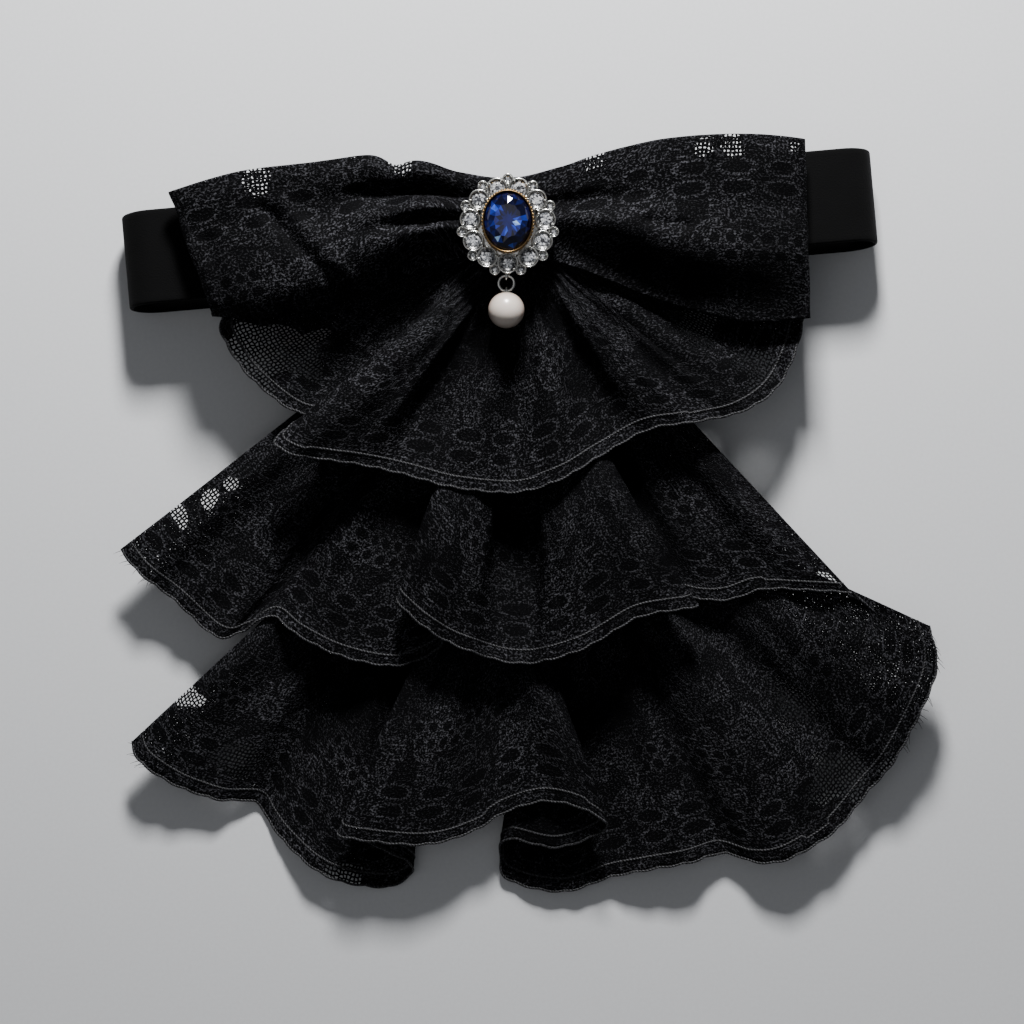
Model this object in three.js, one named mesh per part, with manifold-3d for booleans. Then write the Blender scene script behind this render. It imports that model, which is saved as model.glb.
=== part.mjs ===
// Lace jabot lying face up: three ruffle tiers, a bow on a velvet neckband, and a jewelled brooch.
// Millimetres, +Z up. The origin is on the underside of the neckband, straight below the brooch,
// so the floor that the jabot lies on is z = 0. +X runs along the neckband, -Y down the tiers.
import * as THREE from "three";
import { mergeVertices } from "three/addons/utils/BufferGeometryUtils.js";
import Module from "manifold-3d";

const wasm = await Module();
wasm.setup();

// Cloth sizes
const CLOTH_WALL = 1.0;
const BAND_WALL = 1.5;
const SEAT_GAP = 0.3;

// Neckband: a velvet ribbon, closed into a loop and lying flattened
const BAND_WIDTH = 30;
const BAND_HEIGHT = 20;
const BAND_LEFT = -124;
const BAND_RIGHT = 118.5;
const BAND_TILT = THREE.MathUtils.degToRad(5.05);
const BAND_BACK_SLIP = 2;
const BAND_OVERLAP = 36;
const BAND_OVERLAP_RISE = 18;
// How far the middle line of the band's front passes above the origin
const BAND_UP = 2.3;
const FASTENER_LENGTH = 30;
const FASTENER_WIDTH = 24;
const FASTENER_THICKNESS = 1.2;

// Placket: the strip that carries the tiers
const PLACKET_WIDTH = 30;
const PLACKET_LENGTH = 100;
const PLACKET_TOP = 8;
const PLACKET_HEIGHT = 20.8;

// Ruffle tiers. halfWidth, drop and height size the hem. The gathers run along an arc: headHalf to each
// side of the centre, its ends at headUp, dipping by headDip at the centre, at the height headRise.
// top is where the drop is measured from, and dropSteps the mesh steps down it.
const UPPER = {
  halfWidth: 95,
  drop: 75,
  height: 28,
  top: -9,
  headHalf: 19,
  headUp: -3,
  headDip: 8,
  headRise: 23.2,
  dropSteps: 6,
};
const MIDDLE = {
  halfWidth: 120,
  drop: 107,
  height: 22,
  top: -31,
  headHalf: 25,
  headUp: -24,
  headDip: 12,
  headRise: 18.5,
  dropSteps: 6,
};
const LOWER = {
  halfWidth: 135,
  drop: 126,
  height: 16,
  top: -87,
  headHalf: 28,
  headUp: -77,
  headDip: 15,
  headRise: 5.8,
  dropSteps: 7,
};
// Small pleats in the gathers of every tier, fading out down the rib
const GATHER_COUNT = 9;
const GATHER_HEIGHT = 0.8;
const GATHER_REACH = 0.35;

// Bow: two flattened loops pinched at the centre
const BOW_HALF_LENGTH = 100;
const BOW_HALF_WIDTH = 30;
const BOW_HEIGHT = 36;
const BOW_PLEAT_HEIGHT = 3;
const BOW_BACK_PLEAT_SHARE = 0.15;

// Brooch
const BROOCH_UP = 0.7;
const PLATE_BOTTOM = 31.4;
const PLATE_RADIUS = 12.8;
const PLATE_THICKNESS = 1.2;
const RING_STONES = 11;
const CLEAR_RING_RADIUS = 12;
const CLEAR_STONE_DIAMETER = 5.2;
const CLEAR_STONE_HEIGHT = 2.9;
const CLEAR_BEZEL_DIAMETER = 6.7;
const CLEAR_BEZEL_HEIGHT = 3.6;
const SMALL_RING_RADIUS = 14.6;
const SMALL_STONE_DIAMETER = 2.2;
const SMALL_STONE_HEIGHT = 1.5;
const SMALL_BEZEL_DIAMETER = 3.5;
const SMALL_BEZEL_HEIGHT = 2.7;
const STONE_FIT = 0.35;
const CUP_FLOOR = 0.8;
const CUP_RISE = PLATE_BOTTOM + PLATE_THICKNESS;
const CENTRE_UP = 1.6;
const CENTRE_STONE_WIDTH = 14.7;
const CENTRE_STONE_LENGTH = 18.2;
const CENTRE_STONE_HEIGHT = 6;
const CENTRE_STONE_SEAT = 2.6;
const CENTRE_BEZEL_HEIGHT = 7;
const CENTRE_BEZEL_BEADS = 22;
const CENTRE_BEZEL_BEAD_DEPTH = 0.25;

// Drop below the brooch
const DROP_OUT = -0.5;
const LOOP_RADIUS = 1.35;
const LOOP_WIRE = 0.8;
const LOOP_UP = -14.9;
const LINK_RISE = 31.2;
const JUMP_RING_RADIUS = 2.45;
const JUMP_RING_WIRE = 1;
const EYE_RADIUS = 1.2;
const EYE_WIRE = 0.7;
const PEG_LENGTH = 3.4;
const PEG_DIAMETER = 1;
const PEG_FIT = 0.2;
const PEARL_DIAMETER = 11.5;
const PEARL_SEAT_DIAMETER = 3.7;
const PEARL_SINK = 0.9;

// Mesh steps
const STEPS_PER_RIB = 2;
const BEND_STEPS = 6;
const BOW_STEPS_PER_SECTION = 2;
const BOW_STEPS_ACROSS = 5;
const TURN_STEPS = 4;
const TURN_REACH = 1.6;
const WIRE_SIDES = 6;
const BEZEL_SIDES = 10;
const SMALL_SIDES = 8;
const CENTRE_STONE_SIDES = 16;
const PEARL_SIDES = 16;
const PEARL_BANDS = 12;
const LOOP_SIDES = 12;
const JUMP_RING_SIDES = 16;

// One row for each ridge, valley or folded edge of a tier, from its left side to its right.
// gather: room that the rib takes in the gathers, compared with its neighbours.
// out: hem, share of halfWidth. down: hem below top, share of drop.
// lift: height of the hem, share of height. belly: extra height halfway down, share of height.
const UPPER_RIBS = [
  { gather: 1, out: -0.96, down: 0.25, lift: 0.79, belly: 0.01 },
  { gather: 1, out: -0.96, down: 0.32, lift: 0.75, belly: 0.02 },
  { gather: 1, out: -0.88, down: 0.48, lift: 0.70, belly: 0.02 },
  { gather: 1, out: -0.74, down: 0.63, lift: 0.67, belly: 0.00 },
  { gather: 1, out: -0.63, down: 0.67, lift: 0.69, belly: -0.01 },
  { gather: 1, out: -0.64, down: 0.70, lift: 0.79, belly: 0.00 },
  { gather: 1, out: -0.73, down: 0.72, lift: 0.88, belly: 0.04 },
  { gather: 1, out: -0.78, down: 0.78, lift: 0.95, belly: 0.07 },
  { gather: 1, out: -0.71, down: 0.83, lift: 0.98, belly: 0.09 },
  { gather: 1, out: -0.55, down: 0.86, lift: 0.89, belly: 0.04 },
  { gather: 1, out: -0.36, down: 0.91, lift: 0.89, belly: 0.00 },
  { gather: 1, out: -0.18, down: 0.97, lift: 0.95, belly: 0.00 },
  { gather: 1, out: 0.02, down: 0.99, lift: 0.88, belly: -0.07 },
  { gather: 1, out: 0.17, down: 0.94, lift: 0.95, belly: -0.04 },
  { gather: 1, out: 0.33, down: 0.82, lift: 0.86, belly: -0.07 },
  { gather: 1, out: 0.48, down: 0.72, lift: 0.89, belly: 0.02 },
  { gather: 1, out: 0.64, down: 0.69, lift: 0.91, belly: 0.07 },
  { gather: 1, out: 0.78, down: 0.65, lift: 0.88, belly: 0.12 },
  { gather: 1, out: 0.90, down: 0.55, lift: 0.73, belly: 0.00 },
  { gather: 1, out: 0.97, down: 0.38, lift: 0.70, belly: -0.05 },
  { gather: 1, out: 1.00, down: 0.21, lift: 0.73, belly: -0.02 },
];

const MIDDLE_RIBS = [
  { gather: 1, out: -1.04, down: 0.66, lift: 0.55, belly: -0.09 },
  { gather: 1, out: -0.99, down: 0.73, lift: 0.55, belly: -0.09 },
  { gather: 1, out: -0.90, down: 0.81, lift: 0.50, belly: -0.07 },
  { gather: 1, out: -0.79, down: 0.92, lift: 0.43, belly: -0.05 },
  { gather: 1, out: -0.72, down: 0.91, lift: 0.39, belly: -0.09 },
  { gather: 1, out: -0.64, down: 0.86, lift: 0.48, belly: -0.07 },
  { gather: 1, out: -0.56, down: 0.92, lift: 0.57, belly: 0.00 },
  { gather: 1, out: -0.45, down: 0.98, lift: 0.64, belly: 0.05 },
  { gather: 1, out: -0.30, down: 1.01, lift: 0.64, belly: 0.02 },
  { gather: 1, out: -0.19, down: 0.96, lift: 0.59, belly: -0.05 },
  { gather: 1, out: -0.19, down: 0.90, lift: 0.77, belly: 0.00 },
  { gather: 1, out: -0.28, down: 0.81, lift: 0.90, belly: 0.05 },
  { gather: 1, out: -0.28, down: 0.83, lift: 1.03, belly: 0.09 },
  { gather: 1, out: -0.22, down: 0.89, lift: 1.03, belly: 0.09 },
  { gather: 1, out: -0.13, down: 0.95, lift: 0.98, belly: 0.05 },
  { gather: 1, out: 0.03, down: 1.00, lift: 0.89, belly: -0.09 },
  { gather: 1, out: 0.19, down: 0.96, lift: 0.95, belly: 0.00 },
  { gather: 1, out: 0.35, down: 0.86, lift: 0.98, belly: 0.09 },
  { gather: 1, out: 0.50, down: 0.83, lift: 0.93, belly: 0.09 },
  { gather: 1, out: 0.46, down: 0.80, lift: 0.73, belly: 0.00 },
  { gather: 1, out: 0.43, down: 0.78, lift: 0.59, belly: -0.02 },
  { gather: 1, out: 0.52, down: 0.81, lift: 0.54, belly: -0.05 },
  { gather: 1, out: 0.60, down: 0.81, lift: 0.56, belly: -0.02 },
  { gather: 1, out: 0.68, down: 0.78, lift: 0.64, belly: 0.00 },
  { gather: 1, out: 0.78, down: 0.78, lift: 0.73, belly: 0.00 },
  { gather: 1, out: 0.92, down: 0.79, lift: 0.77, belly: 0.00 },
];

const LOWER_RIBS = [
  { gather: 1, out: -0.90, down: 0.61, lift: 0.62, belly: -0.06 },
  { gather: 1, out: -0.88, down: 0.66, lift: 0.62, belly: -0.06 },
  { gather: 1, out: -0.80, down: 0.72, lift: 0.56, belly: -0.06 },
  { gather: 1, out: -0.70, down: 0.76, lift: 0.38, belly: -0.06 },
  { gather: 1, out: -0.61, down: 0.77, lift: 0.10, belly: -0.06 },
  { gather: 1, out: -0.57, down: 0.83, lift: 0.10, belly: -0.06 },
  { gather: 1, out: -0.52, down: 0.89, lift: 0.31, belly: -0.03 },
  { gather: 1, out: -0.43, down: 0.96, lift: 0.44, belly: 0.00 },
  { gather: 1.5, out: -0.30, down: 0.99, lift: 0.14, belly: -0.10 },
  { gather: 3, out: -0.24, down: 0.96, lift: 0.18, belly: -0.11 },
  { gather: 4, out: -0.24, down: 0.92, lift: 0.46, belly: 0.04 },
  { gather: 6, out: -0.31, down: 0.88, lift: 0.62, belly: 0.07 },
  { gather: 5, out: -0.39, down: 0.83, lift: 0.75, belly: 0.03 },
  { gather: 2.5, out: -0.39, down: 0.85, lift: 0.94, belly: -0.02 },
  { gather: 1, out: -0.21, down: 0.87, lift: 0.88, belly: -0.05 },
  { gather: 1, out: -0.09, down: 0.84, lift: 0.75, belly: -0.03 },
  { gather: 1, out: -0.01, down: 0.79, lift: 0.75, belly: -0.03 },
  { gather: 1, out: 0.08, down: 0.76, lift: 0.88, belly: 0.00 },
  { gather: 1, out: 0.16, down: 0.77, lift: 0.94, belly: 0.04 },
  { gather: 1, out: 0.23, down: 0.81, lift: 0.94, belly: 0.05 },
  { gather: 4, out: 0.22, down: 0.84, lift: 0.74, belly: 0.07 },
  { gather: 8, out: 0.12, down: 0.88, lift: 0.64, belly: 0.09 },
  { gather: 8, out: 0.00, down: 0.86, lift: 0.51, belly: 0.08 },
  { gather: 6, out: -0.02, down: 0.91, lift: 0.19, belly: -0.11 },
  { gather: 2, out: 0.00, down: 0.97, lift: 0.12, belly: -0.10 },
  { gather: 1, out: 0.13, down: 1.00, lift: 0.23, belly: -0.08 },
  { gather: 1, out: 0.25, down: 0.96, lift: 0.31, belly: -0.03 },
  { gather: 1, out: 0.34, down: 0.94, lift: 0.50, belly: 0.03 },
  { gather: 1, out: 0.44, down: 0.92, lift: 0.50, belly: 0.02 },
  { gather: 1, out: 0.52, down: 0.90, lift: 0.25, belly: -0.06 },
  { gather: 1, out: 0.60, down: 0.92, lift: 0.50, belly: 0.00 },
  { gather: 1, out: 0.67, down: 0.91, lift: 0.69, belly: 0.05 },
  { gather: 1, out: 0.78, down: 0.84, lift: 0.56, belly: 0.00 },
  { gather: 1, out: 0.86, down: 0.74, lift: 0.56, belly: -0.06 },
  { gather: 1, out: 0.92, down: 0.66, lift: 0.75, belly: -0.03 },
  { gather: 1, out: 0.99, down: 0.51, lift: 0.94, belly: -0.03 },
  { gather: 1, out: 1.02, down: 0.41, lift: 1.00, belly: -0.03 },
  { gather: 1, out: 1.00, down: 0.31, lift: 1.00, belly: -0.03 },
];

// One row for each cross-section of the bow, from left to right.
// topOut and bottomOut: long edges, share of BOW_HALF_LENGTH. topUp and bottomUp: share of BOW_HALF_WIDTH.
// front and back: height of the two layers, share of BOW_HEIGHT. pleat: share of BOW_PLEAT_HEIGHT.
const BOW_SECTIONS = [
  { topOut: -1.05, topUp: 0.42, bottomOut: -0.92, bottomUp: -0.92, front: 0.81, back: 0.71, pleat: 0.3 },
  { topOut: -0.85, topUp: 0.60, bottomOut: -0.78, bottomUp: -0.94, front: 0.89, back: 0.69, pleat: 0.5 },
  { topOut: -0.63, topUp: 0.68, bottomOut: -0.60, bottomUp: -0.81, front: 0.96, back: 0.69, pleat: 0.8 },
  { topOut: -0.42, topUp: 0.76, bottomOut: -0.43, bottomUp: -0.65, front: 0.99, back: 0.69, pleat: 1.0 },
  { topOut: -0.26, topUp: 0.70, bottomOut: -0.26, bottomUp: -0.41, front: 0.93, back: 0.71, pleat: 0.9 },
  { topOut: -0.15, topUp: 0.60, bottomOut: -0.15, bottomUp: -0.30, front: 0.83, back: 0.73, pleat: 0.1 },
  { topOut: 0.01, topUp: 0.54, bottomOut: 0.00, bottomUp: -0.27, front: 0.83, back: 0.74, pleat: 0.1 },
  { topOut: 0.17, topUp: 0.66, bottomOut: 0.15, bottomUp: -0.34, front: 0.83, back: 0.73, pleat: 0.1 },
  { topOut: 0.29, topUp: 0.78, bottomOut: 0.26, bottomUp: -0.46, front: 0.93, back: 0.71, pleat: 0.9 },
  { topOut: 0.48, topUp: 0.92, bottomOut: 0.45, bottomUp: -0.71, front: 0.99, back: 0.69, pleat: 1.0 },
  { topOut: 0.66, topUp: 0.98, bottomOut: 0.62, bottomUp: -0.88, front: 0.96, back: 0.69, pleat: 0.8 },
  { topOut: 0.81, topUp: 0.99, bottomOut: 0.78, bottomUp: -0.98, front: 0.89, back: 0.69, pleat: 0.5 },
  { topOut: 0.93, topUp: 0.96, bottomOut: 0.94, bottomUp: -0.94, front: 0.81, back: 0.71, pleat: 0.3 },
];

// One row for each ridge or valley that runs out from the pinch of the bow, top edge to bottom edge.
// rise: share of the section's pleat height.
const BOW_PLEATS = [
  { rise: -0.6 },
  { rise: 0.2 },
  { rise: -0.9 },
  { rise: 1.0 },
  { rise: -0.2 },
  { rise: 0.9 },
  { rise: -0.8 },
  { rise: -0.6 },
];

// One row for each bend of the placket, from under the bow to the lower tier.
// down: share of PLACKET_LENGTH. lift: share of PLACKET_HEIGHT.
const PLACKET_BENDS = [
  { down: 0.0, lift: 1.0 },
  { down: 0.12, lift: 1.0 },
  { down: 0.25, lift: 1.0 },
  { down: 0.41, lift: 0.78 },
  { down: 0.68, lift: 0.38 },
  { down: 0.86, lift: 0.2 },
  { down: 1.0, lift: 0.17 },
];

// One row for each ring of facets of a cut stone, from its point to its table.
// reach: share of the half size. rise: share of the height. turn: share of one facet.
const BRILLIANT_RINGS = [
  { reach: 1.0, rise: 0.58, turn: 0 },
  { reach: 1.0, rise: 0.66, turn: 0 },
  { reach: 0.62, rise: 1.0, turn: 0.5 },
];
const OVAL_RINGS = [
  { reach: 0.6, rise: 0.24, turn: 0.5 },
  { reach: 1.0, rise: 0.56, turn: 0 },
  { reach: 1.0, rise: 0.62, turn: 0 },
  { reach: 0.83, rise: 0.84, turn: 0.5 },
  { reach: 0.6, rise: 1.0, turn: 0 },
];

// One row for each ring of the centre bezel's profile, from its foot outside to its foot inside.
// grow: added to the half size of the stone, mm. rise: share of CENTRE_BEZEL_HEIGHT.
// beaded: 1 where the beads stand out.
const CENTRE_BEZEL_PROFILE = [
  { grow: -2.6, rise: 0.0, beaded: 0 },
  { grow: -2.4, rise: 0.52, beaded: 0 },
  { grow: 0.8, rise: 0.64, beaded: 1 },
  { grow: 1.1, rise: 0.84, beaded: 1 },
  { grow: 0.55, rise: 1.0, beaded: 0 },
  { grow: 0.25, rise: 0.96, beaded: 0 },
  { grow: 0.25, rise: 0.74, beaded: 0 },
  { grow: -2.4, rise: 0.56, beaded: 0 },
  { grow: -3.3, rise: 0.3, beaded: 0 },
  { grow: -3.4, rise: 0.0, beaded: 0 },
];

// A column of a table at a position between its rows, smooth through every row.
function columnAt(rows, column, position, closed = false) {
  const count = rows.length;
  const before = closed ? Math.floor(position) : Math.min(Math.floor(position), count - 2);
  const t = position - before;
  const pick = (index) => {
    const row = closed ? (index + count) % count : THREE.MathUtils.clamp(index, 0, count - 1);
    return rows[row][column];
  };
  const a = pick(before - 1);
  const b = pick(before);
  const c = pick(before + 1);
  const d = pick(before + 2);
  const linear = c - a;
  const square = 2 * a - 5 * b + 4 * c - d;
  const cubic = 3 * b - a - 3 * c + d;
  return b + 0.5 * t * (linear + t * (square + t * cubic));
}

// A grid of points thickened by half a wall to each side of its surface, closed along all its edges.
// closed joins the last row of the grid to the first, as in a loop of ribbon.
function sheetGeometry(grid, wall, closed = false) {
  const rowCount = grid.length;
  const columnCount = grid[0].length;
  const positions = [];
  const neighbour = (i) => {
    if (closed) return (i + rowCount) % rowCount;
    return THREE.MathUtils.clamp(i, 0, rowCount - 1);
  };
  const normalAt = (i, j) => {
    const along = grid[neighbour(i + 1)][j].clone().sub(grid[neighbour(i - 1)][j]);
    const next = Math.min(j + 1, columnCount - 1);
    const previous = Math.max(j - 1, 0);
    const across = grid[i][next].clone().sub(grid[i][previous]);
    return along.cross(across).normalize();
  };
  // Turns tighter than the wall share one direction, so that the wall doesn't run through itself there.
  const evenNormalAt = (i, j) => {
    const sum = new THREE.Vector3();
    for (let step = -TURN_STEPS; step <= TURN_STEPS; step += 1) {
      const near = neighbour(i + step);
      const distance = grid[near][j].distanceTo(grid[i][j]);
      if (distance <= TURN_REACH * wall) sum.add(normalAt(near, j));
    }
    return sum.normalize();
  };
  for (const side of [wall / 2, -wall / 2]) {
    for (let i = 0; i < rowCount; i += 1) {
      for (let j = 0; j < columnCount; j += 1) {
        const point = grid[i][j].clone().addScaledVector(evenNormalAt(i, j), side);
        positions.push(point.x, point.y, point.z);
      }
    }
  }
  const front = (i, j) => neighbour(i) * columnCount + j;
  const back = (i, j) => front(i, j) + rowCount * columnCount;
  const index = [];
  const quad = (a, b, c, d) => index.push(a, b, c, a, c, d);
  const spans = closed ? rowCount : rowCount - 1;
  const lastColumn = columnCount - 1;
  for (let i = 0; i < spans; i += 1) {
    for (let j = 0; j < lastColumn; j += 1) {
      quad(front(i, j), front(i + 1, j), front(i + 1, j + 1), front(i, j + 1));
      quad(back(i, j), back(i, j + 1), back(i + 1, j + 1), back(i + 1, j));
    }
    quad(front(i + 1, 0), front(i, 0), back(i, 0), back(i + 1, 0));
    quad(front(i, lastColumn), front(i + 1, lastColumn), back(i + 1, lastColumn), back(i, lastColumn));
  }
  if (!closed) {
    const lastRow = rowCount - 1;
    for (let j = 0; j < lastColumn; j += 1) {
      quad(front(0, j), front(0, j + 1), back(0, j + 1), back(0, j));
      quad(front(lastRow, j + 1), front(lastRow, j), back(lastRow, j), back(lastRow, j + 1));
    }
  }
  const geometry = new THREE.BufferGeometry();
  geometry.setAttribute("position", new THREE.Float32BufferAttribute(positions, 3));
  geometry.setIndex(index);
  return geometry;
}

// A tier: every rib runs from its place in the gathers to its place on the hem.
function ruffleGeometry(size, ribs) {
  const stepCount = (ribs.length - 1) * STEPS_PER_RIB;
  const hem = [];
  for (let i = 0; i <= stepCount; i += 1) {
    const position = i / STEPS_PER_RIB;
    const point = new THREE.Vector3(
      size.halfWidth * columnAt(ribs, "out", position),
      size.top - size.drop * columnAt(ribs, "down", position),
      size.height * columnAt(ribs, "lift", position),
    );
    const belly = size.height * columnAt(ribs, "belly", position);
    const gathered = i === 0 ? 0 : hem[i - 1].gathered + ribs[Math.ceil(position)].gather;
    hem.push({ point, belly, gathered });
  }
  const grid = hem.map(({ point, belly, gathered }) => {
    const share = gathered / hem[stepCount].gathered;
    const side = 2 * share - 1;
    const dip = size.headDip * (1 - side * side);
    const head = new THREE.Vector3(size.headHalf * side, size.headUp - dip, size.headRise);
    const pleat = GATHER_HEIGHT * (1 - side * side) * Math.sin(2 * Math.PI * GATHER_COUNT * share);
    const line = [];
    for (let j = 0; j <= size.dropSteps; j += 1) {
      const down = j / size.dropSteps;
      const fade = Math.max(0, 1 - down / GATHER_REACH);
      const climb = down * (2 - down);
      const place = head.clone().lerp(point, down);
      place.z = THREE.MathUtils.lerp(head.z, point.z, climb) + 4 * belly * down * (1 - down) + pleat * fade;
      line.push(place);
    }
    return line;
  });
  // The ribs run downwards and the grid runs left to right, so the face side looks down: turn it.
  grid.reverse();
  return sheetGeometry(grid, CLOTH_WALL);
}

// The bow: sections of the front layer from left to right, then of the back layer from right to left.
function bowGeometry() {
  const layer = (side, pleatShare) =>
    BOW_SECTIONS.map((section) => ({
      topOut: section.topOut,
      topUp: section.topUp,
      bottomOut: section.bottomOut,
      bottomUp: section.bottomUp,
      rise: section[side],
      pleat: section.pleat * pleatShare,
    }));
  const loop = [...layer("front", 1), ...layer("back", BOW_BACK_PLEAT_SHARE).reverse()];
  const grid = [];
  for (let i = 0; i < loop.length * BOW_STEPS_PER_SECTION; i += 1) {
    const position = i / BOW_STEPS_PER_SECTION;
    const at = (column) => columnAt(loop, column, position, true);
    const top = new THREE.Vector3(BOW_HALF_LENGTH * at("topOut"), BOW_HALF_WIDTH * at("topUp"), 0);
    const bottom = new THREE.Vector3(BOW_HALF_LENGTH * at("bottomOut"), BOW_HALF_WIDTH * at("bottomUp"), 0);
    const line = [];
    for (let j = 0; j <= BOW_STEPS_ACROSS; j += 1) {
      const across = j / BOW_STEPS_ACROSS;
      const pleat = columnAt(BOW_PLEATS, "rise", across * (BOW_PLEATS.length - 1));
      const place = top.clone().lerp(bottom, across);
      place.z = BOW_HEIGHT * at("rise") + BOW_PLEAT_HEIGHT * at("pleat") * pleat;
      line.push(place);
    }
    grid.push(line);
  }
  grid.reverse();
  return sheetGeometry(grid, CLOTH_WALL, true);
}

// Along the tilted neckband: a point from its place along the band, across it and above the floor.
function bandPoint(along, across, rise) {
  const slip = BAND_BACK_SLIP * (1 - rise / BAND_HEIGHT);
  const up = across - slip;
  const x = along * Math.cos(BAND_TILT) - up * Math.sin(BAND_TILT);
  const y = along * Math.sin(BAND_TILT) + up * Math.cos(BAND_TILT) + BAND_UP;
  return new THREE.Vector3(x, y, rise);
}

// The neckband's strip: along the floor, round the left fold, over the front, round the right fold and
// back along the floor until it lies on its own first end.
function neckbandGeometry() {
  const low = BAND_WALL / 2;
  const high = BAND_HEIGHT - BAND_WALL / 2;
  const bend = (high - low) / 2;
  const middle = (high + low) / 2;
  const lapRise = low + BAND_WALL + FASTENER_THICKNESS + 2 * SEAT_GAP;
  const path = new THREE.Path();
  path.moveTo(BAND_OVERLAP / 2, low);
  path.lineTo(BAND_LEFT + bend + low, low);
  path.absarc(BAND_LEFT + bend + low, middle, bend, -Math.PI / 2, Math.PI / 2, true);
  path.lineTo(BAND_RIGHT - bend - low, high);
  path.absarc(BAND_RIGHT - bend - low, middle, bend, Math.PI / 2, -Math.PI / 2, true);
  path.lineTo(BAND_OVERLAP / 2 + BAND_OVERLAP_RISE, low);
  path.bezierCurveTo(
    BAND_OVERLAP / 2 + BAND_OVERLAP_RISE / 2,
    low,
    BAND_OVERLAP / 2 + BAND_OVERLAP_RISE / 2,
    lapRise,
    BAND_OVERLAP / 2,
    lapRise,
  );
  path.lineTo(-BAND_OVERLAP / 2, lapRise);
  const line = path.getPoints(BEND_STEPS);
  const grid = line.map((place) => [
    bandPoint(place.x, -BAND_WIDTH / 2, place.y),
    bandPoint(place.x, BAND_WIDTH / 2, place.y),
  ]);
  return sheetGeometry(grid, BAND_WALL);
}

// The pad between the overlapping ends of the neckband.
function fastenerGeometry() {
  const rise = BAND_WALL + SEAT_GAP + FASTENER_THICKNESS / 2;
  const grid = [-FASTENER_LENGTH / 2, FASTENER_LENGTH / 2].map((along) => [
    bandPoint(along, FASTENER_WIDTH / 2, rise),
    bandPoint(along, -FASTENER_WIDTH / 2, rise),
  ]);
  return sheetGeometry(grid, FASTENER_THICKNESS);
}

// The strip under the tiers, following the bends down from the neckband's front.
function placketGeometry() {
  const grid = PLACKET_BENDS.map(({ down, lift }) => {
    const y = PLACKET_TOP - PLACKET_LENGTH * down;
    const z = PLACKET_HEIGHT * lift;
    return [new THREE.Vector3(-PLACKET_WIDTH / 2, y, z), new THREE.Vector3(PLACKET_WIDTH / 2, y, z)];
  });
  return sheetGeometry(grid, CLOTH_WALL);
}

// A cut stone: a point below, rings of facets and a flat table on top.
function stoneGeometry(width, length, height, rings, sides) {
  const positions = [0, 0, 0];
  for (const { reach, rise, turn } of rings) {
    for (let i = 0; i < sides; i += 1) {
      const angle = (2 * Math.PI * (i + turn)) / sides;
      const x = (width / 2) * reach * Math.cos(angle);
      const y = (length / 2) * reach * Math.sin(angle);
      positions.push(x, y, height * rise);
    }
  }
  const index = [];
  const at = (ring, side) => 1 + ring * sides + (side % sides);
  for (let i = 0; i < sides; i += 1) index.push(0, at(0, i + 1), at(0, i));
  for (let ring = 0; ring < rings.length - 1; ring += 1) {
    const lead = rings[ring].turn > rings[ring + 1].turn ? 1 : 0;
    for (let i = 0; i < sides; i += 1) {
      const low = at(ring, i);
      const lowNext = at(ring, i + 1);
      const high = at(ring + 1, i + lead);
      const highNext = at(ring + 1, i + lead + 1);
      index.push(low, lowNext, high, lowNext, highNext, high);
    }
  }
  const table = rings.length - 1;
  for (let i = 1; i < sides - 1; i += 1) index.push(at(table, 0), at(table, i), at(table, i + 1));
  const geometry = new THREE.BufferGeometry();
  geometry.setAttribute("position", new THREE.Float32BufferAttribute(positions, 3));
  geometry.setIndex(index);
  return geometry;
}

// A closed oval ring swept from a profile of rows, whose outside can stand out in beads.
function ovalRingGeometry(width, length, height, profile, beads, beadDepth) {
  const sides = 2 * beads;
  const positions = [];
  for (const { grow, rise, beaded } of profile) {
    for (let i = 0; i < sides; i += 1) {
      const angle = (2 * Math.PI * i) / sides;
      const out = grow + (i % 2 ? -1 : 1) * beaded * beadDepth * 0.5;
      const x = (width / 2 + out) * Math.cos(angle);
      const y = (length / 2 + out) * Math.sin(angle);
      positions.push(x, y, height * rise);
    }
  }
  const index = [];
  const rows = profile.length;
  for (let row = 0; row < rows; row += 1) {
    const next = (row + 1) % rows;
    for (let i = 0; i < sides; i += 1) {
      const j = (i + 1) % sides;
      index.push(row * sides + i, row * sides + j, next * sides + j);
      index.push(row * sides + i, next * sides + j, next * sides + i);
    }
  }
  const geometry = new THREE.BufferGeometry();
  geometry.setAttribute("position", new THREE.Float32BufferAttribute(positions, 3));
  geometry.setIndex(index);
  return geometry;
}

// A geometry as a solid for adding and cutting.
function solidFrom(geometry) {
  const bare = geometry.clone();
  bare.deleteAttribute("normal");
  bare.deleteAttribute("uv");
  const merged = mergeVertices(bare, 1e-4);
  const mesh = new wasm.Mesh({
    numProp: 3,
    vertProperties: new Float32Array(merged.getAttribute("position").array),
    triVerts: new Uint32Array(merged.getIndex().array),
  });
  return new wasm.Manifold(mesh);
}

function geometryFrom(solid) {
  const mesh = solid.getMesh();
  const geometry = new THREE.BufferGeometry();
  geometry.setAttribute("position", new THREE.Float32BufferAttribute(mesh.vertProperties, mesh.numProp));
  geometry.setIndex([...mesh.triVerts]);
  return geometry;
}

// An upright cylinder standing on a height.
function standingCylinder(diameter, height, sides, x, y, z) {
  const geometry = new THREE.CylinderGeometry(diameter / 2, diameter / 2, height, sides);
  geometry.rotateX(Math.PI / 2);
  geometry.translate(x, y, z + height / 2);
  return geometry;
}

// A ring of wire that stands across the jump ring.
function standingLoop(radius, wire, x, y, z) {
  const geometry = new THREE.TorusGeometry(radius, wire / 2, WIRE_SIDES, LOOP_SIDES);
  geometry.rotateY(Math.PI / 2);
  geometry.translate(x, y, z);
  return geometry;
}

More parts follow.
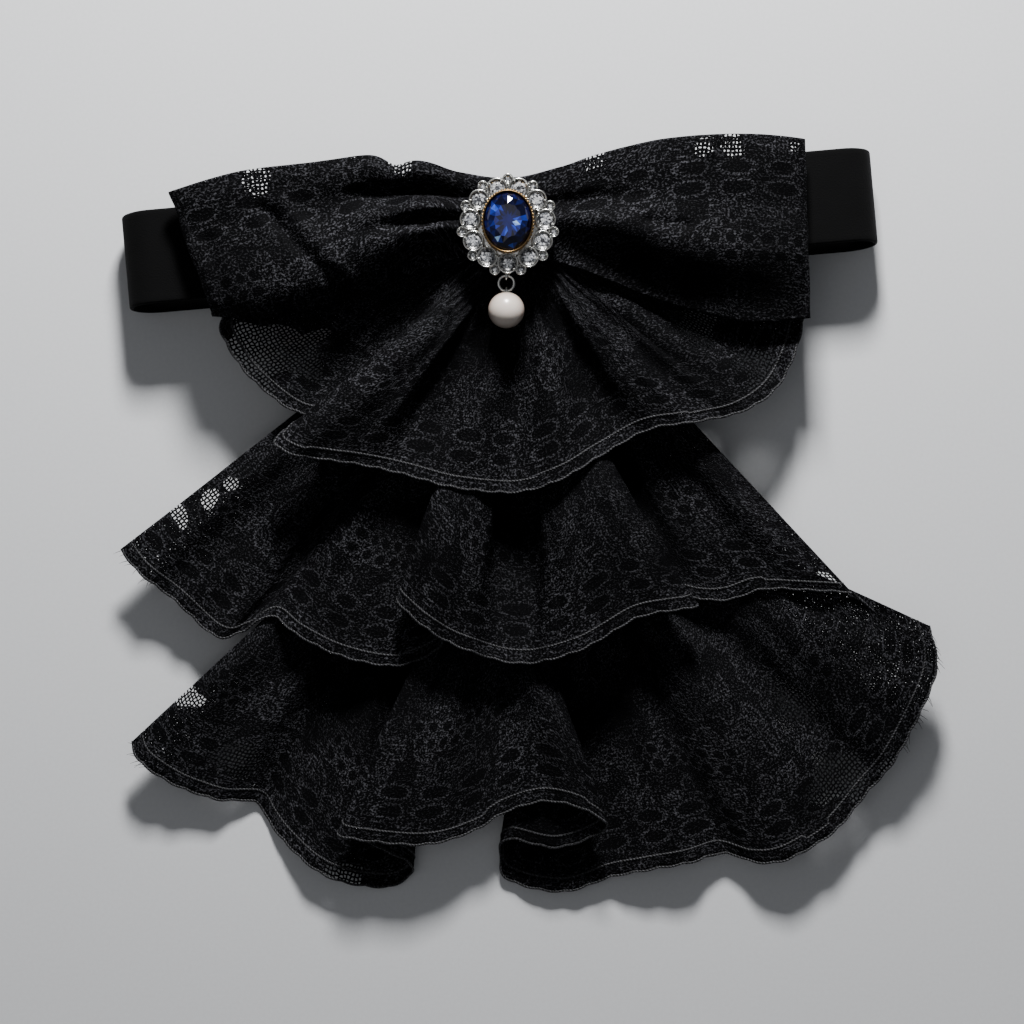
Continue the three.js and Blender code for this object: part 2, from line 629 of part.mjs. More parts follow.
// Places round the brooch. The clear stones start straight below the centre, the small ones half a step on.
function ringPlace(radius, number, halfStep) {
  const angle = -Math.PI / 2 + (2 * Math.PI * (number + halfStep)) / RING_STONES;
  return { x: radius * Math.cos(angle), y: BROOCH_UP + radius * Math.sin(angle), angle };
}

function broochSettingGeometry() {
  let setting = solidFrom(
    standingCylinder(2 * PLATE_RADIUS, PLATE_THICKNESS, 3 * RING_STONES, 0, BROOCH_UP, PLATE_BOTTOM),
  );
  const cuts = [];
  const lap = PLATE_THICKNESS / 2;
  for (let number = 0; number < RING_STONES; number += 1) {
    const clear = ringPlace(CLEAR_RING_RADIUS, number, 0);
    const small = ringPlace(SMALL_RING_RADIUS, number, 0.5);
    const bezels = [
      [CLEAR_BEZEL_DIAMETER, CLEAR_BEZEL_HEIGHT, BEZEL_SIDES, CLEAR_STONE_DIAMETER, clear],
      [SMALL_BEZEL_DIAMETER, SMALL_BEZEL_HEIGHT, SMALL_SIDES, SMALL_STONE_DIAMETER, small],
    ];
    for (const [outer, height, sides, stone, place] of bezels) {
      const base = CUP_RISE - lap;
      const body = standingCylinder(outer, height + lap, sides, place.x, place.y, base);
      setting = setting.add(solidFrom(body));
      const floor = base + CUP_FLOOR;
      const bore = stone + 2 * STONE_FIT;
      cuts.push(standingCylinder(bore, height + lap, sides, place.x, place.y, floor));
    }
  }
  for (const cut of cuts) setting = setting.subtract(solidFrom(cut));
  setting = setting.add(solidFrom(standingLoop(LOOP_RADIUS, LOOP_WIRE, DROP_OUT, LOOP_UP, LINK_RISE)));
  return geometryFrom(setting);
}

function pearlEyeGeometry(eyeUp) {
  const eye = solidFrom(standingLoop(EYE_RADIUS, EYE_WIRE, DROP_OUT, eyeUp, LINK_RISE));
  const peg = new THREE.CylinderGeometry(PEG_DIAMETER / 2, PEG_DIAMETER / 2, PEG_LENGTH, SMALL_SIDES);
  peg.translate(DROP_OUT, eyeUp - EYE_RADIUS - PEG_LENGTH / 2, LINK_RISE);
  return geometryFrom(eye.add(solidFrom(peg)));
}

function pearlGeometry(eyeUp, pearlUp) {
  const ball = new THREE.SphereGeometry(PEARL_DIAMETER / 2, PEARL_SIDES, PEARL_BANDS);
  ball.translate(DROP_OUT, pearlUp, LINK_RISE);
  const boreDiameter = PEG_DIAMETER + 2 * PEG_FIT;
  const boreEnd = eyeUp - EYE_RADIUS - PEG_LENGTH - SEAT_GAP;
  const boreLength = pearlUp + PEARL_DIAMETER - boreEnd;
  const bore = new THREE.CylinderGeometry(boreDiameter / 2, boreDiameter / 2, boreLength, SMALL_SIDES);
  bore.translate(DROP_OUT, boreEnd + boreLength / 2, LINK_RISE);
  const seat = new THREE.SphereGeometry(PEARL_SEAT_DIAMETER / 2, SMALL_SIDES, SMALL_SIDES);
  seat.translate(DROP_OUT, eyeUp, LINK_RISE);
  return geometryFrom(solidFrom(ball).subtract(solidFrom(bore)).subtract(solidFrom(seat)));
}

const lace = { color: 0x17171a, roughness: 0.9, metalness: 0 };
const velvet = { color: 0x08080a, roughness: 1, metalness: 0 };
const silver = { color: 0xd9d8d4, roughness: 0.22, metalness: 1 };
const gold = { color: 0xd8a860, roughness: 0.25, metalness: 1 };
const clearGlass = { color: 0xeef1f4, roughness: 0.05, metalness: 0 };
const blueGlass = { color: 0x1a2fa8, roughness: 0.05, metalness: 0 };
const pearlCoat = { color: 0xf3efe9, roughness: 0.25, metalness: 0 };

const group = new THREE.Group();

function addPiece(name, geometry, look) {
  const flat = geometry.index ? geometry.toNonIndexed() : geometry;
  flat.computeVertexNormals();
  const mesh = new THREE.Mesh(flat, new THREE.MeshStandardMaterial(look));
  mesh.name = name;
  group.add(mesh);
}

addPiece("neckband", neckbandGeometry(), velvet);
addPiece("neckband_fastener", fastenerGeometry(), velvet);
addPiece("placket", placketGeometry(), velvet);
addPiece("lower_ruffle", ruffleGeometry(LOWER, LOWER_RIBS), lace);
addPiece("middle_ruffle", ruffleGeometry(MIDDLE, MIDDLE_RIBS), lace);
addPiece("upper_ruffle", ruffleGeometry(UPPER, UPPER_RIBS), lace);
addPiece("bow", bowGeometry(), lace);
addPiece("brooch_setting", broochSettingGeometry(), silver);

const bezelRise = CUP_RISE + SEAT_GAP;
const centreBezel = ovalRingGeometry(
  CENTRE_STONE_WIDTH,
  CENTRE_STONE_LENGTH,
  CENTRE_BEZEL_HEIGHT,
  CENTRE_BEZEL_PROFILE,
  CENTRE_BEZEL_BEADS,
  CENTRE_BEZEL_BEAD_DEPTH,
);
centreBezel.translate(0, CENTRE_UP, bezelRise);
addPiece("centre_bezel", centreBezel, gold);

const centreStone = stoneGeometry(
  CENTRE_STONE_WIDTH,
  CENTRE_STONE_LENGTH,
  CENTRE_STONE_HEIGHT,
  OVAL_RINGS,
  CENTRE_STONE_SIDES,
);
centreStone.translate(0, CENTRE_UP, bezelRise + CENTRE_STONE_SEAT);
addPiece("centre_stone", centreStone, blueGlass);

for (let number = 0; number < RING_STONES; number += 1) {
  const label = String(number + 1).padStart(2, "0");
  const floor = CUP_RISE - PLATE_THICKNESS / 2 + CUP_FLOOR + SEAT_GAP;
  const clear = ringPlace(CLEAR_RING_RADIUS, number, 0);
  const clearStone = stoneGeometry(
    CLEAR_STONE_DIAMETER,
    CLEAR_STONE_DIAMETER,
    CLEAR_STONE_HEIGHT,
    BRILLIANT_RINGS,
    SMALL_SIDES,
  );
  clearStone.rotateZ(clear.angle);
  clearStone.translate(clear.x, clear.y, floor);
  addPiece(`clear_stone_${label}`, clearStone, clearGlass);
  const small = ringPlace(SMALL_RING_RADIUS, number, 0.5);
  const smallStone = stoneGeometry(
    SMALL_STONE_DIAMETER,
    SMALL_STONE_DIAMETER,
    SMALL_STONE_HEIGHT,
    BRILLIANT_RINGS,
    SMALL_SIDES,
  );
  smallStone.rotateZ(small.angle);
  smallStone.translate(small.x, small.y, floor);
  addPiece(`small_stone_${label}`, smallStone, clearGlass);
}

const jumpRingUp = LOOP_UP - JUMP_RING_RADIUS;
const eyeUp = jumpRingUp - JUMP_RING_RADIUS;
const pearlUp = eyeUp - EYE_RADIUS - PEARL_DIAMETER / 2 + PEARL_SINK;
const jumpRing = new THREE.TorusGeometry(JUMP_RING_RADIUS, JUMP_RING_WIRE / 2, WIRE_SIDES, JUMP_RING_SIDES);
jumpRing.translate(DROP_OUT, jumpRingUp, LINK_RISE);
addPiece("jump_ring", jumpRing, silver);
addPiece("pearl_eye", pearlEyeGeometry(eyeUp), silver);
addPiece("pearl", pearlGeometry(eyeUp, pearlUp), pearlCoat);

export default group;
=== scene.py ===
"""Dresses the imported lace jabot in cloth, metal, glass and pearl, and sets its stage."""

import bpy
import numpy as np
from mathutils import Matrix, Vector


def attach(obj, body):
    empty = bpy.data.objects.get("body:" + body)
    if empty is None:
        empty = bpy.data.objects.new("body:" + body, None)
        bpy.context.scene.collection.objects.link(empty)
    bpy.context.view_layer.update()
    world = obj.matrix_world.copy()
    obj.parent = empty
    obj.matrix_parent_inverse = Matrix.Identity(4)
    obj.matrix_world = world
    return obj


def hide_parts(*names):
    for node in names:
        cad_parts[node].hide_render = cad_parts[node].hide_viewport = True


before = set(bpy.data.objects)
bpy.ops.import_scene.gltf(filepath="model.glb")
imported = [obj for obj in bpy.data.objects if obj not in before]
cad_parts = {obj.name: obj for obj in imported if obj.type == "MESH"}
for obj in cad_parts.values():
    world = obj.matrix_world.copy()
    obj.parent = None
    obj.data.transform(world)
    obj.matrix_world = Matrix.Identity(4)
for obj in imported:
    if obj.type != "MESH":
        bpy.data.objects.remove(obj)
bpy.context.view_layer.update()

bl_info = {
    "name": "Lace jabot",
    "version": (1, 0, 0),
    "blender": (4, 5, 0),
    "location": "3D View > Sidebar > Jabot",
    "description": "Builds the cloth, brooch and drop of a black lace jabot on its packed solids",
    "category": "Object",
}

MM = 0.001
BODY = "root"

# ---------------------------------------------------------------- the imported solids' named sizes, in mm

BAND_WIDTH = 30
BAND_HEIGHT = 20
BAND_WALL = 1.5
BAND_LEFT = -124
BAND_RIGHT = 118.5
BAND_TILT = np.radians(5.05)
BAND_BACK_SLIP = 2
BAND_OVERLAP = 36
BAND_OVERLAP_RISE = 18
BAND_UP = 2.3
FASTENER_LENGTH = 30
FASTENER_WIDTH = 24
FASTENER_THICKNESS = 1.2
SEAT_GAP = 0.3
PLACKET_WIDTH = 30
PLACKET_LENGTH = 100
PLACKET_TOP = 8
PLACKET_HEIGHT = 20.8
CLOTH_WALL = 1.0

UPPER = {
    "half_width": 95, "drop": 75, "height": 28, "top": -9,
    "head_half": 19, "head_up": -3, "head_dip": 8, "head_rise": 23.2,
}
MIDDLE = {
    "half_width": 120, "drop": 107, "height": 22, "top": -31,
    "head_half": 25, "head_up": -24, "head_dip": 12, "head_rise": 18.5,
}
LOWER = {
    "half_width": 135, "drop": 126, "height": 16, "top": -87,
    "head_half": 28, "head_up": -77, "head_dip": 15, "head_rise": 5.8,
}
GATHER_COUNT = 9
GATHER_HEIGHT = 0.8
GATHER_REACH = 0.35

BOW_HALF_LENGTH = 100
BOW_HALF_WIDTH = 30
BOW_HEIGHT = 36
# Notch in the top edge: place along the bow, half width, depth on the plan, depth in height
BOW_NOTCH = (-35.6, 4.5, 2.8, 2.5)
BOW_BACK_PLEAT_SHARE = 0.15

# One row for each rib of a tier, from its left side to its right: room in the gathers, hem out, hem down,
# hem height and belly, as shares of the tier's sizes.
RIB_COLUMNS = ("gather", "out", "down", "lift", "belly")
UPPER_RIBS = (
    (1, -0.96, 0.25, 0.79, 0.01),
    (1, -0.96, 0.32, 0.75, 0.02),
    (1, -0.88, 0.48, 0.70, 0.02),
    (1, -0.74, 0.63, 0.67, 0.00),
    (1, -0.63, 0.67, 0.69, -0.01),
    (1, -0.64, 0.70, 0.79, 0.00),
    (1, -0.73, 0.72, 0.88, 0.04),
    (1, -0.78, 0.78, 0.95, 0.07),
    (1, -0.71, 0.83, 0.98, 0.09),
    (1, -0.55, 0.86, 0.89, 0.04),
    (1, -0.36, 0.91, 0.89, 0.00),
    (1, -0.18, 0.97, 0.95, 0.00),
    (1, 0.02, 0.99, 0.88, -0.07),
    (1, 0.17, 0.94, 0.95, -0.04),
    (1, 0.33, 0.82, 0.86, -0.07),
    (1, 0.48, 0.72, 0.89, 0.02),
    (1, 0.64, 0.69, 0.91, 0.07),
    (1, 0.78, 0.65, 0.88, 0.12),
    (1, 0.90, 0.55, 0.73, 0.00),
    (1, 0.97, 0.38, 0.70, -0.05),
    (1, 1.00, 0.21, 0.73, -0.02),
)
MIDDLE_RIBS = (
    (1, -1.04, 0.66, 0.55, -0.09),
    (1, -0.99, 0.73, 0.55, -0.09),
    (1, -0.90, 0.81, 0.50, -0.07),
    (1, -0.79, 0.92, 0.43, -0.05),
    (1, -0.72, 0.91, 0.39, -0.09),
    (1, -0.64, 0.86, 0.48, -0.07),
    (1, -0.56, 0.92, 0.57, 0.00),
    (1, -0.45, 0.98, 0.64, 0.05),
    (1, -0.30, 1.01, 0.64, 0.02),
    (1, -0.19, 0.96, 0.59, -0.05),
    (1, -0.19, 0.90, 0.77, 0.00),
    (1, -0.28, 0.81, 0.90, 0.05),
    (1, -0.28, 0.83, 1.03, 0.09),
    (1, -0.22, 0.89, 1.03, 0.09),
    (1, -0.13, 0.95, 0.98, 0.05),
    (1, 0.03, 1.00, 0.89, -0.09),
    (1, 0.19, 0.96, 0.95, 0.00),
    (1, 0.35, 0.86, 0.98, 0.09),
    (1, 0.50, 0.83, 0.93, 0.09),
    (1, 0.46, 0.80, 0.73, 0.00),
    (1, 0.43, 0.78, 0.59, -0.02),
    (1, 0.52, 0.81, 0.54, -0.05),
    (1, 0.60, 0.81, 0.56, -0.02),
    (1, 0.68, 0.78, 0.64, 0.00),
    (1, 0.78, 0.78, 0.73, 0.00),
    (1, 0.92, 0.79, 0.77, 0.00),
)
LOWER_RIBS = (
    (1, -0.90, 0.61, 0.62, -0.06),
    (1, -0.88, 0.66, 0.62, -0.06),
    (1, -0.80, 0.72, 0.56, -0.06),
    (1, -0.70, 0.76, 0.38, -0.06),
    (1, -0.61, 0.77, 0.10, -0.06),
    (1, -0.57, 0.83, 0.10, -0.06),
    (1, -0.52, 0.89, 0.31, -0.03),
    (1, -0.43, 0.96, 0.44, 0.00),
    (1.5, -0.30, 0.99, 0.14, -0.10),
    (3, -0.24, 0.96, 0.18, -0.11),
    (4, -0.24, 0.92, 0.46, 0.04),
    (6, -0.31, 0.88, 0.62, 0.07),
    (5, -0.39, 0.83, 0.75, 0.03),
    (2.5, -0.39, 0.85, 0.94, -0.02),
    (1, -0.21, 0.87, 0.88, -0.05),
    (1, -0.09, 0.84, 0.75, -0.03),
    (1, -0.01, 0.79, 0.75, -0.03),
    (1, 0.08, 0.76, 0.88, 0.00),
    (1, 0.16, 0.77, 0.94, 0.04),
    (1, 0.23, 0.81, 0.94, 0.05),
    (4, 0.22, 0.84, 0.74, 0.07),
    (8, 0.12, 0.88, 0.64, 0.09),
    (8, 0.00, 0.86, 0.51, 0.08),
    (6, -0.02, 0.91, 0.19, -0.11),
    (2, 0.00, 0.97, 0.12, -0.10),
    (1, 0.13, 1.00, 0.23, -0.08),
    (1, 0.25, 0.96, 0.31, -0.03),
    (1, 0.34, 0.94, 0.50, 0.03),
    (1, 0.44, 0.92, 0.50, 0.02),
    (1, 0.52, 0.90, 0.25, -0.06),
    (1, 0.60, 0.92, 0.50, 0.00),
    (1, 0.67, 0.91, 0.69, 0.05),
    (1, 0.78, 0.84, 0.56, 0.00),
    (1, 0.86, 0.74, 0.56, -0.06),
    (1, 0.92, 0.66, 0.75, -0.03),
    (1, 0.99, 0.51, 0.94, -0.03),
    (1, 1.02, 0.41, 1.00, -0.03),
    (1, 1.00, 0.31, 1.00, -0.03),
)

# One row for each cross-section of the bow, from left to right, as shares of the bow's sizes.
BOW_COLUMNS = ("top_out", "top_up", "bottom_out", "bottom_up", "front", "back")
BOW_SECTIONS = (
    (-1.05, 0.42, -0.92, -0.92, 0.81, 0.71),
    (-0.85, 0.60, -0.78, -0.94, 0.89, 0.69),
    (-0.63, 0.68, -0.60, -0.81, 0.96, 0.69),
    (-0.42, 0.76, -0.43, -0.65, 0.99, 0.69),
    (-0.26, 0.70, -0.26, -0.41, 0.93, 0.71),
    (-0.15, 0.60, -0.15, -0.30, 0.83, 0.73),
    (0.01, 0.54, 0.00, -0.27, 0.83, 0.74),
    (0.17, 0.66, 0.15, -0.34, 0.83, 0.73),
    (0.29, 0.78, 0.26, -0.46, 0.93, 0.71),
    (0.48, 0.92, 0.45, -0.71, 0.99, 0.69),
    (0.66, 0.98, 0.62, -0.88, 0.96, 0.69),
    (0.81, 0.99, 0.78, -0.98, 0.89, 0.69),
    (0.93, 0.96, 0.94, -0.94, 0.81, 0.71),
)
# The bow's folds as the looks have them, in mm above its plain form: one row for each place along the bow,
# then twelve heights from its top edge to its bottom edge.
BOW_FOLDS = (
    (-105, 0.0, 0.0, -0.2, -0.4, -0.4, 0.0, 0.3, 0.5, 0.4, 0.0, -0.8, -3.0),
    (-75, 0.0, 0.3, 0.0, -0.6, -0.6, 0.0, 0.6, 1.2, 1.2, 0.6, -1.6, -6.0),
    (-53, 0.0, 0.6, 0.0, -1.8, -1.5, 0.4, 1.2, 1.8, 1.6, 0.0, -3.4, -8.0),
    (-38, 0.2, 1.2, -0.6, -5.0, -1.8, 2.2, 0.7, 2.2, 1.2, -2.0, -5.6, -8.0),
    (-25, 0.3, 1.2, -1.0, -5.4, 1.0, 3.2, -2.2, 2.8, 0.8, -3.2, -6.4, -7.0),
    (-15, 0.0, 0.6, -0.3, -2.8, 0.2, 1.6, -0.6, 1.4, 0.0, -2.4, -3.6, -4.0),
    (0, 0.0, 0.2, 0.0, -0.4, 0.0, 0.4, 0.0, 0.2, 0.0, -0.4, -0.8, -1.0),
    (15, 0.0, 0.4, 0.4, 0.0, -1.4, -0.6, 1.4, 0.8, -1.2, -2.4, -2.8, -3.0),
    (25, 0.3, 0.8, 0.6, 0.0, -2.0, -0.4, 2.8, 1.8, -2.0, -4.2, -4.4, -4.4),
    (38, 0.2, 0.8, 0.8, 0.3, -0.4, 1.0, 3.0, 2.4, -1.6, -6.6, -7.4, -7.4),
    (53, 0.0, 0.6, 0.8, 0.5, 0.4, 1.2, 2.4, 3.0, 0.6, -6.0, -8.0, -8.4),
    (75, 0.0, 0.4, 0.5, 0.5, 0.4, 0.8, 1.8, 2.4, 0.2, -3.6, -6.0, -7.0),
    (100, 0.0, 0.2, 0.3, 0.4, 0.4, 0.6, 1.0, 1.0, -0.4, -2.0, -3.4, -4.4),
)
# Creases in the bow: two ends on the plan in mm, depth and half width in mm. Below zero is a ridge.
BOW_CREASES = (
    (-77, 6, -54, -19, 1.5, 2.0),
    (-72, 8, -48, -17, -1.2, 2.4),
    (-95, -4, -88, -26, 0.8, 2.4),
    (44, 2.2, 56, 0.6, 1.2, 1.6),
    (39, 22, 38, 5, 0.6, 2.4),
    (64, 20, 70, 2, 0.8, 2.4),
)
# Bends of the placket: down its length and lift, as shares.
PLACKET_BENDS = np.array(
    ((0.0, 1.0), (0.12, 1.0), (0.25, 1.0), (0.41, 0.78), (0.68, 0.38), (0.86, 0.2), (1.0, 0.17))
)

# ---------------------------------------------------------------- sizes that only the looks need, in mm

LACE_THICKNESS = 0.34
FLOOR_GAP = 0.45
TIER_GRIDS = {"upper": (400, 105), "middle": (430, 100), "lower": (500, 92)}
SCALLOP = {"pitch": 8.0, "depth": 0.5, "reach": 4.0}
# The tiers' folds grow over this share of the drop, and lose this share of their height towards the hem.
FOLD_GROWTH = 0.24
HEM_FLATTENING = 0.65
FINE_PLEATS = 31
FINE_PLEAT_HEIGHT = 0.35
BOW_CRUMPLE = 0.35
BOW_LOOP_COLUMNS = 560
BOW_ROWS = 78

BROOCH_UP = 0.7
PLATE_BOTTOM = 31.4
PLATE_RADIUS = 12.8
PLATE_THICKNESS = 1.2
RING_STONES = 11
# The two rings of stones: radius, share of a step that the ring is turned by, stone, its cup's width and
# height, sides of the cup and size of its claws.
STONE_RINGS = (
    {
        "kind": "clear", "radius": 12, "turn": 0, "stone": (5.2, 5.2, 2.9), "cup": (6.7, 3.6),
        "sides": 40, "claw": 0.42,
    },
    {
        "kind": "small", "radius": 14.6, "turn": 0.5, "stone": (2.2, 2.2, 1.5), "cup": (3.5, 2.7),
        "sides": 24, "claw": 0.3,
    },
)
CUP_ROOM = 0.5
CUP_FLOOR = 0.8
CLAWS = 4
CLAW_OFFSET = 0.1
JUNCTION_RADIUS = 10.6
JUNCTION_BEAD = 0.6
CENTRE_UP = 1.6
CENTRE_STONE = (14.7, 18.2, 6.0)
CENTRE_STONE_SEAT = 2.6
CENTRE_BEZEL_HEIGHT = 7
# The centre bezel's wall: how far out from the stone's edge in mm, and how high as a share of its height.
CENTRE_BEZEL_WALL = (
    (-2.6, 0), (-2.4, 0.52), (0.3, 0.62), (0.7, 0.7), (0.75, 0.9), (0.55, 1.0), (0.25, 0.96), (0.25, 0.74),
    (-2.4, 0.56), (-3.3, 0.3), (-3.4, 0),
)
CENTRE_BEZEL_BEADS = {"count": 56, "out": 0.72, "up": 0.86, "radius": 0.45}
DROP_OUT = -0.5
LINK_RISE = 31.2
LOOP = {"radius": 1.35, "wire": 0.8, "up": -14.9}
JUMP_RING = {"radius": 2.45, "wire": 1.0}
EYE = {"radius": 1.2, "wire": 0.7}
PEARL_DIAMETER = 11.5
PEARL_SINK = 0.9
PEG_LENGTH = 3.4
PEG_RADIUS = 0.5


def hex_linear(code):
    """An sRGB hex colour as linear red, green, blue and alpha."""
    channels = np.array([int(code[i:i + 2], 16) for i in (1, 3, 5)]) / 255
    linear = np.where(channels <= 0.04045, channels / 12.92, ((channels + 0.055) / 1.055) ** 2.4)
    return (*linear.tolist(), 1.0)


# ---------------------------------------------------------------- surfaces

def column_at(values, position, closed=False):
    """Catmull-Rom curve through the rows of a table column, at positions between the rows."""
    values = np.asarray(values, float)
    count = len(values)
    before = np.floor(position).astype(int)
    if not closed:
        before = np.minimum(before, count - 2)
    t = (position - before).reshape(np.shape(position) + (1,) * (values.ndim - 1))

    def pick(rows):
        return values[rows % count] if closed else values[np.clip(rows, 0, count - 1)]

    a, b, c, d = (pick(before + step) for step in (-1, 0, 1, 2))
    return b + 0.5 * t * ((c - a) + t * ((2 * a - 5 * b + 4 * c - d) + t * (3 * b - a - 3 * c + d)))


def eased(share):
    """The share from 0 to 1 as a smooth step, 3 s^2 - 2 s^3."""
    share = np.clip(share, 0, 1)
    return share * share * (3 - 2 * share)


def smooth_noise(u, v, seed):
    """Value noise: random numbers on a whole-number grid, blended by 3t^2 - 2t^3 in both directions."""
    lattice = np.random.default_rng(seed).uniform(-1, 1, (257, 257))
    iu, iv = np.floor(u).astype(int), np.floor(v).astype(int)
    fu, fv = u - iu, v - iv
    fu, fv = eased(fu), eased(fv)
    iu, iv = iu % 256, iv % 256
    low = lattice[iu, iv] * (1 - fu) + lattice[iu + 1, iv] * fu
    high = lattice[iu, iv + 1] * (1 - fu) + lattice[iu + 1, iv + 1] * fu
    return low * (1 - fv) + high * fv


def lengths_along(points, axis):
    """Running length of a grid of points along one of its directions, from its first row."""
    steps = np.linalg.norm(np.diff(points, axis=axis), axis=-1)
    start = np.zeros_like(np.take(steps, [0], axis=axis))
    return np.concatenate([start, np.cumsum(steps, axis=axis)], axis=axis)


def surface_normals(points):
    """Unit normals of a grid: the cross product of its two tangents."""
    along = np.gradient(points, axis=0)
    down = np.gradient(points, axis=1)
    normal = np.cross(along, down)
    return normal / np.maximum(np.linalg.norm(normal, axis=-1, keepdims=True), 1e-9)


def grid_faces(rows, columns, closed_rows=False, closed_columns=False):
    """Quads of a grid as an array, wrapping round where a direction is closed."""
    i = np.arange(rows if closed_rows else rows - 1)
    j = np.arange(columns if closed_columns else columns - 1)
    i, j = np.meshgrid(i, j, indexing="ij")
    i2, j2 = (i + 1) % rows, (j + 1) % columns
    corners = (i * columns + j, i2 * columns + j, i2 * columns + j2, i * columns + j2)
    return np.stack(corners, axis=-1).reshape(-1, 4)


def paint_facet_reflections(obj, reflection_tones):
    """Gives each face its own tone of painted reflection, from 0 to 1, in the attribute facet."""
    layer = obj.data.attributes.new("facet", "FLOAT", "FACE")
    layer.data.foreach_set("value", np.asarray(reflection_tones, float))


def mesh_object(name, points, faces, material, uv=None, smooth=True):
    """A mesh object at the origin from points in mm and faces, with an optional UV for each point."""
    mesh = bpy.data.meshes.new(name)
    points = np.asarray(points, float).reshape(-1, 3) * MM
    mesh.from_pydata(points, [], faces.tolist() if hasattr(faces, "tolist") else faces)
    if uv is not None:
        loops = np.empty(len(mesh.loops), int)
        mesh.loops.foreach_get("vertex_index", loops)
        layer = mesh.uv_layers.new(name="UVMap")
        layer.uv.foreach_set("vector", np.asarray(uv, float).reshape(-1, 2)[loops].ravel())
    mesh.polygons.foreach_set("use_smooth", np.full(len(mesh.polygons), smooth))
    mesh.materials.append(material)
    mesh.update()
    obj = bpy.data.objects.new(name, mesh)
    bpy.context.scene.collection.objects.link(obj)
    return obj


def give_wall(obj, thickness):
    """A wall to both sides of a surface, closed along its edges."""
    wall = obj.modifiers.new("wall", "SOLIDIFY")
    wall.thickness = thickness * MM
    wall.offset = 0
    wall.use_even_offset = False
    return obj


def tube_rings(path, across, radius, sides):
    """Rings round a path: centre + radius * (cos * normal + sin * side), where normal = tangent x across and
    side = normal x tangent."""
    tangent = np.gradient(path, axis=0)
    tangent /= np.maximum(np.linalg.norm(tangent, axis=-1, keepdims=True), 1e-9)
    normal = np.cross(tangent, across)
    normal /= np.maximum(np.linalg.norm(normal, axis=-1, keepdims=True), 1e-9)
    side = np.cross(normal, tangent)
    angle = 2 * np.pi * np.arange(sides) / sides
    radius = np.broadcast_to(np.asarray(radius, float), len(path))[:, None, None]
    ring = np.cos(angle)[None, :, None] * normal[:, None] + np.sin(angle)[None, :, None] * side[:, None]
    return path[:, None] + radius * ring


def capped_faces(rows, sides):
    """Quads of an open tube and a face over each of its ends."""
    quads = grid_faces(rows, sides, closed_columns=True).tolist()
    last = (rows - 1) * sides
    quads.append(list(range(sides - 1, -1, -1)))
    quads.append([last + side for side in range(sides)])
    return quads


def join_parts(parts):
    """Several (points, faces) pairs as one pair."""
    points, faces, start = [], [], 0
    for part_points, part_faces in parts:
        flat = np.asarray(part_points, float).reshape(-1, 3)
        listed = part_faces.tolist() if hasattr(part_faces, "tolist") else part_faces
        faces += [[start + corner for corner in face] for face in listed]
        points.append(flat)
        start += len(flat)
    return np.concatenate(points), faces


# ---------------------------------------------------------------- materials

def node(tree, kind, *values, output=0, **settings):
    """Adds a node with its settings. Values and sockets fill its inputs in order, and a dictionary at their
    end fills them by name. Gives back one of its output sockets."""
    made = tree.nodes.new("ShaderNode" + kind)
    for key, value in settings.items():
        setattr(made, key, value)
    named = values[-1] if values and isinstance(values[-1], dict) else {}
    plain = values[:-1] if named else values
    for key, value in {**dict(enumerate(plain)), **named}.items():
        if isinstance(value, bpy.types.NodeSocket):
            tree.links.new(value, made.inputs[key])
        else:
            made.inputs[key].default_value = value
    return made.outputs[output] if made.outputs else None


def new_material(name):
    """An empty node material, and its node tree."""
    material = bpy.data.materials.new(name)
    material.use_nodes = True
    material.node_tree.nodes.clear()
    return material, material.node_tree


def finish(tree, colour, sockets, height=None, distance=0.0, strength=1.0):
    """Ends a material: its colour, the values of the shader's own sockets and, where it has relief, the
    relief's height, its distance in mm and its strength."""
    if height is not None:
        bump = node(tree, "Bump", {"Height": height, "Distance": distance * MM, "Strength": strength})
        sockets = {**sockets, "Normal": bump}
    node(tree, "OutputMaterial", node(tree, "BsdfPrincipled", {"Base Color": colour, **sockets}))


# Real sizes of the lace's pattern, in mm. Half a thread of net or stitches is a share of its cell.
NET_CELL = 1.3
NET_THREAD = 0.21
STITCH_CELL = 0.85
STITCH_THREAD = 0.4
# Size of the painted highlight specks, across and up.
GLINT_SIZE = (0.8, 0.62)
STITCH_ROW = 1.6
FLOWER_PITCH = 19.0
FLOWER_REACH = 8.6
FLOWER_EYE = 1.9
PETAL_SHARE = 0.42
VEIN_WIDTH = 0.8
EYE_WIDTH = 1.0
LEAF_PITCH = 12.5
LEAF_LENGTH = 6.4
LEAF_WIDTH = 2.7
LEAF_RIB_WIDTH = 0.6
FULL_TURN = 6.28
CORD_WIDTH = 1.3
EYELET = {"pitch": 15.5, "up": 13.6, "stack": 3.3, "reach": (4.4, 2.0), "rim": 0.24}
LADDER = {"pitch": 5.8, "up": 36.0, "stack": 2.7, "reach": (1.9, 1.7), "rim": 0.34}
LADDER_RUN = 93.0
HEM_BORDER = 3.8


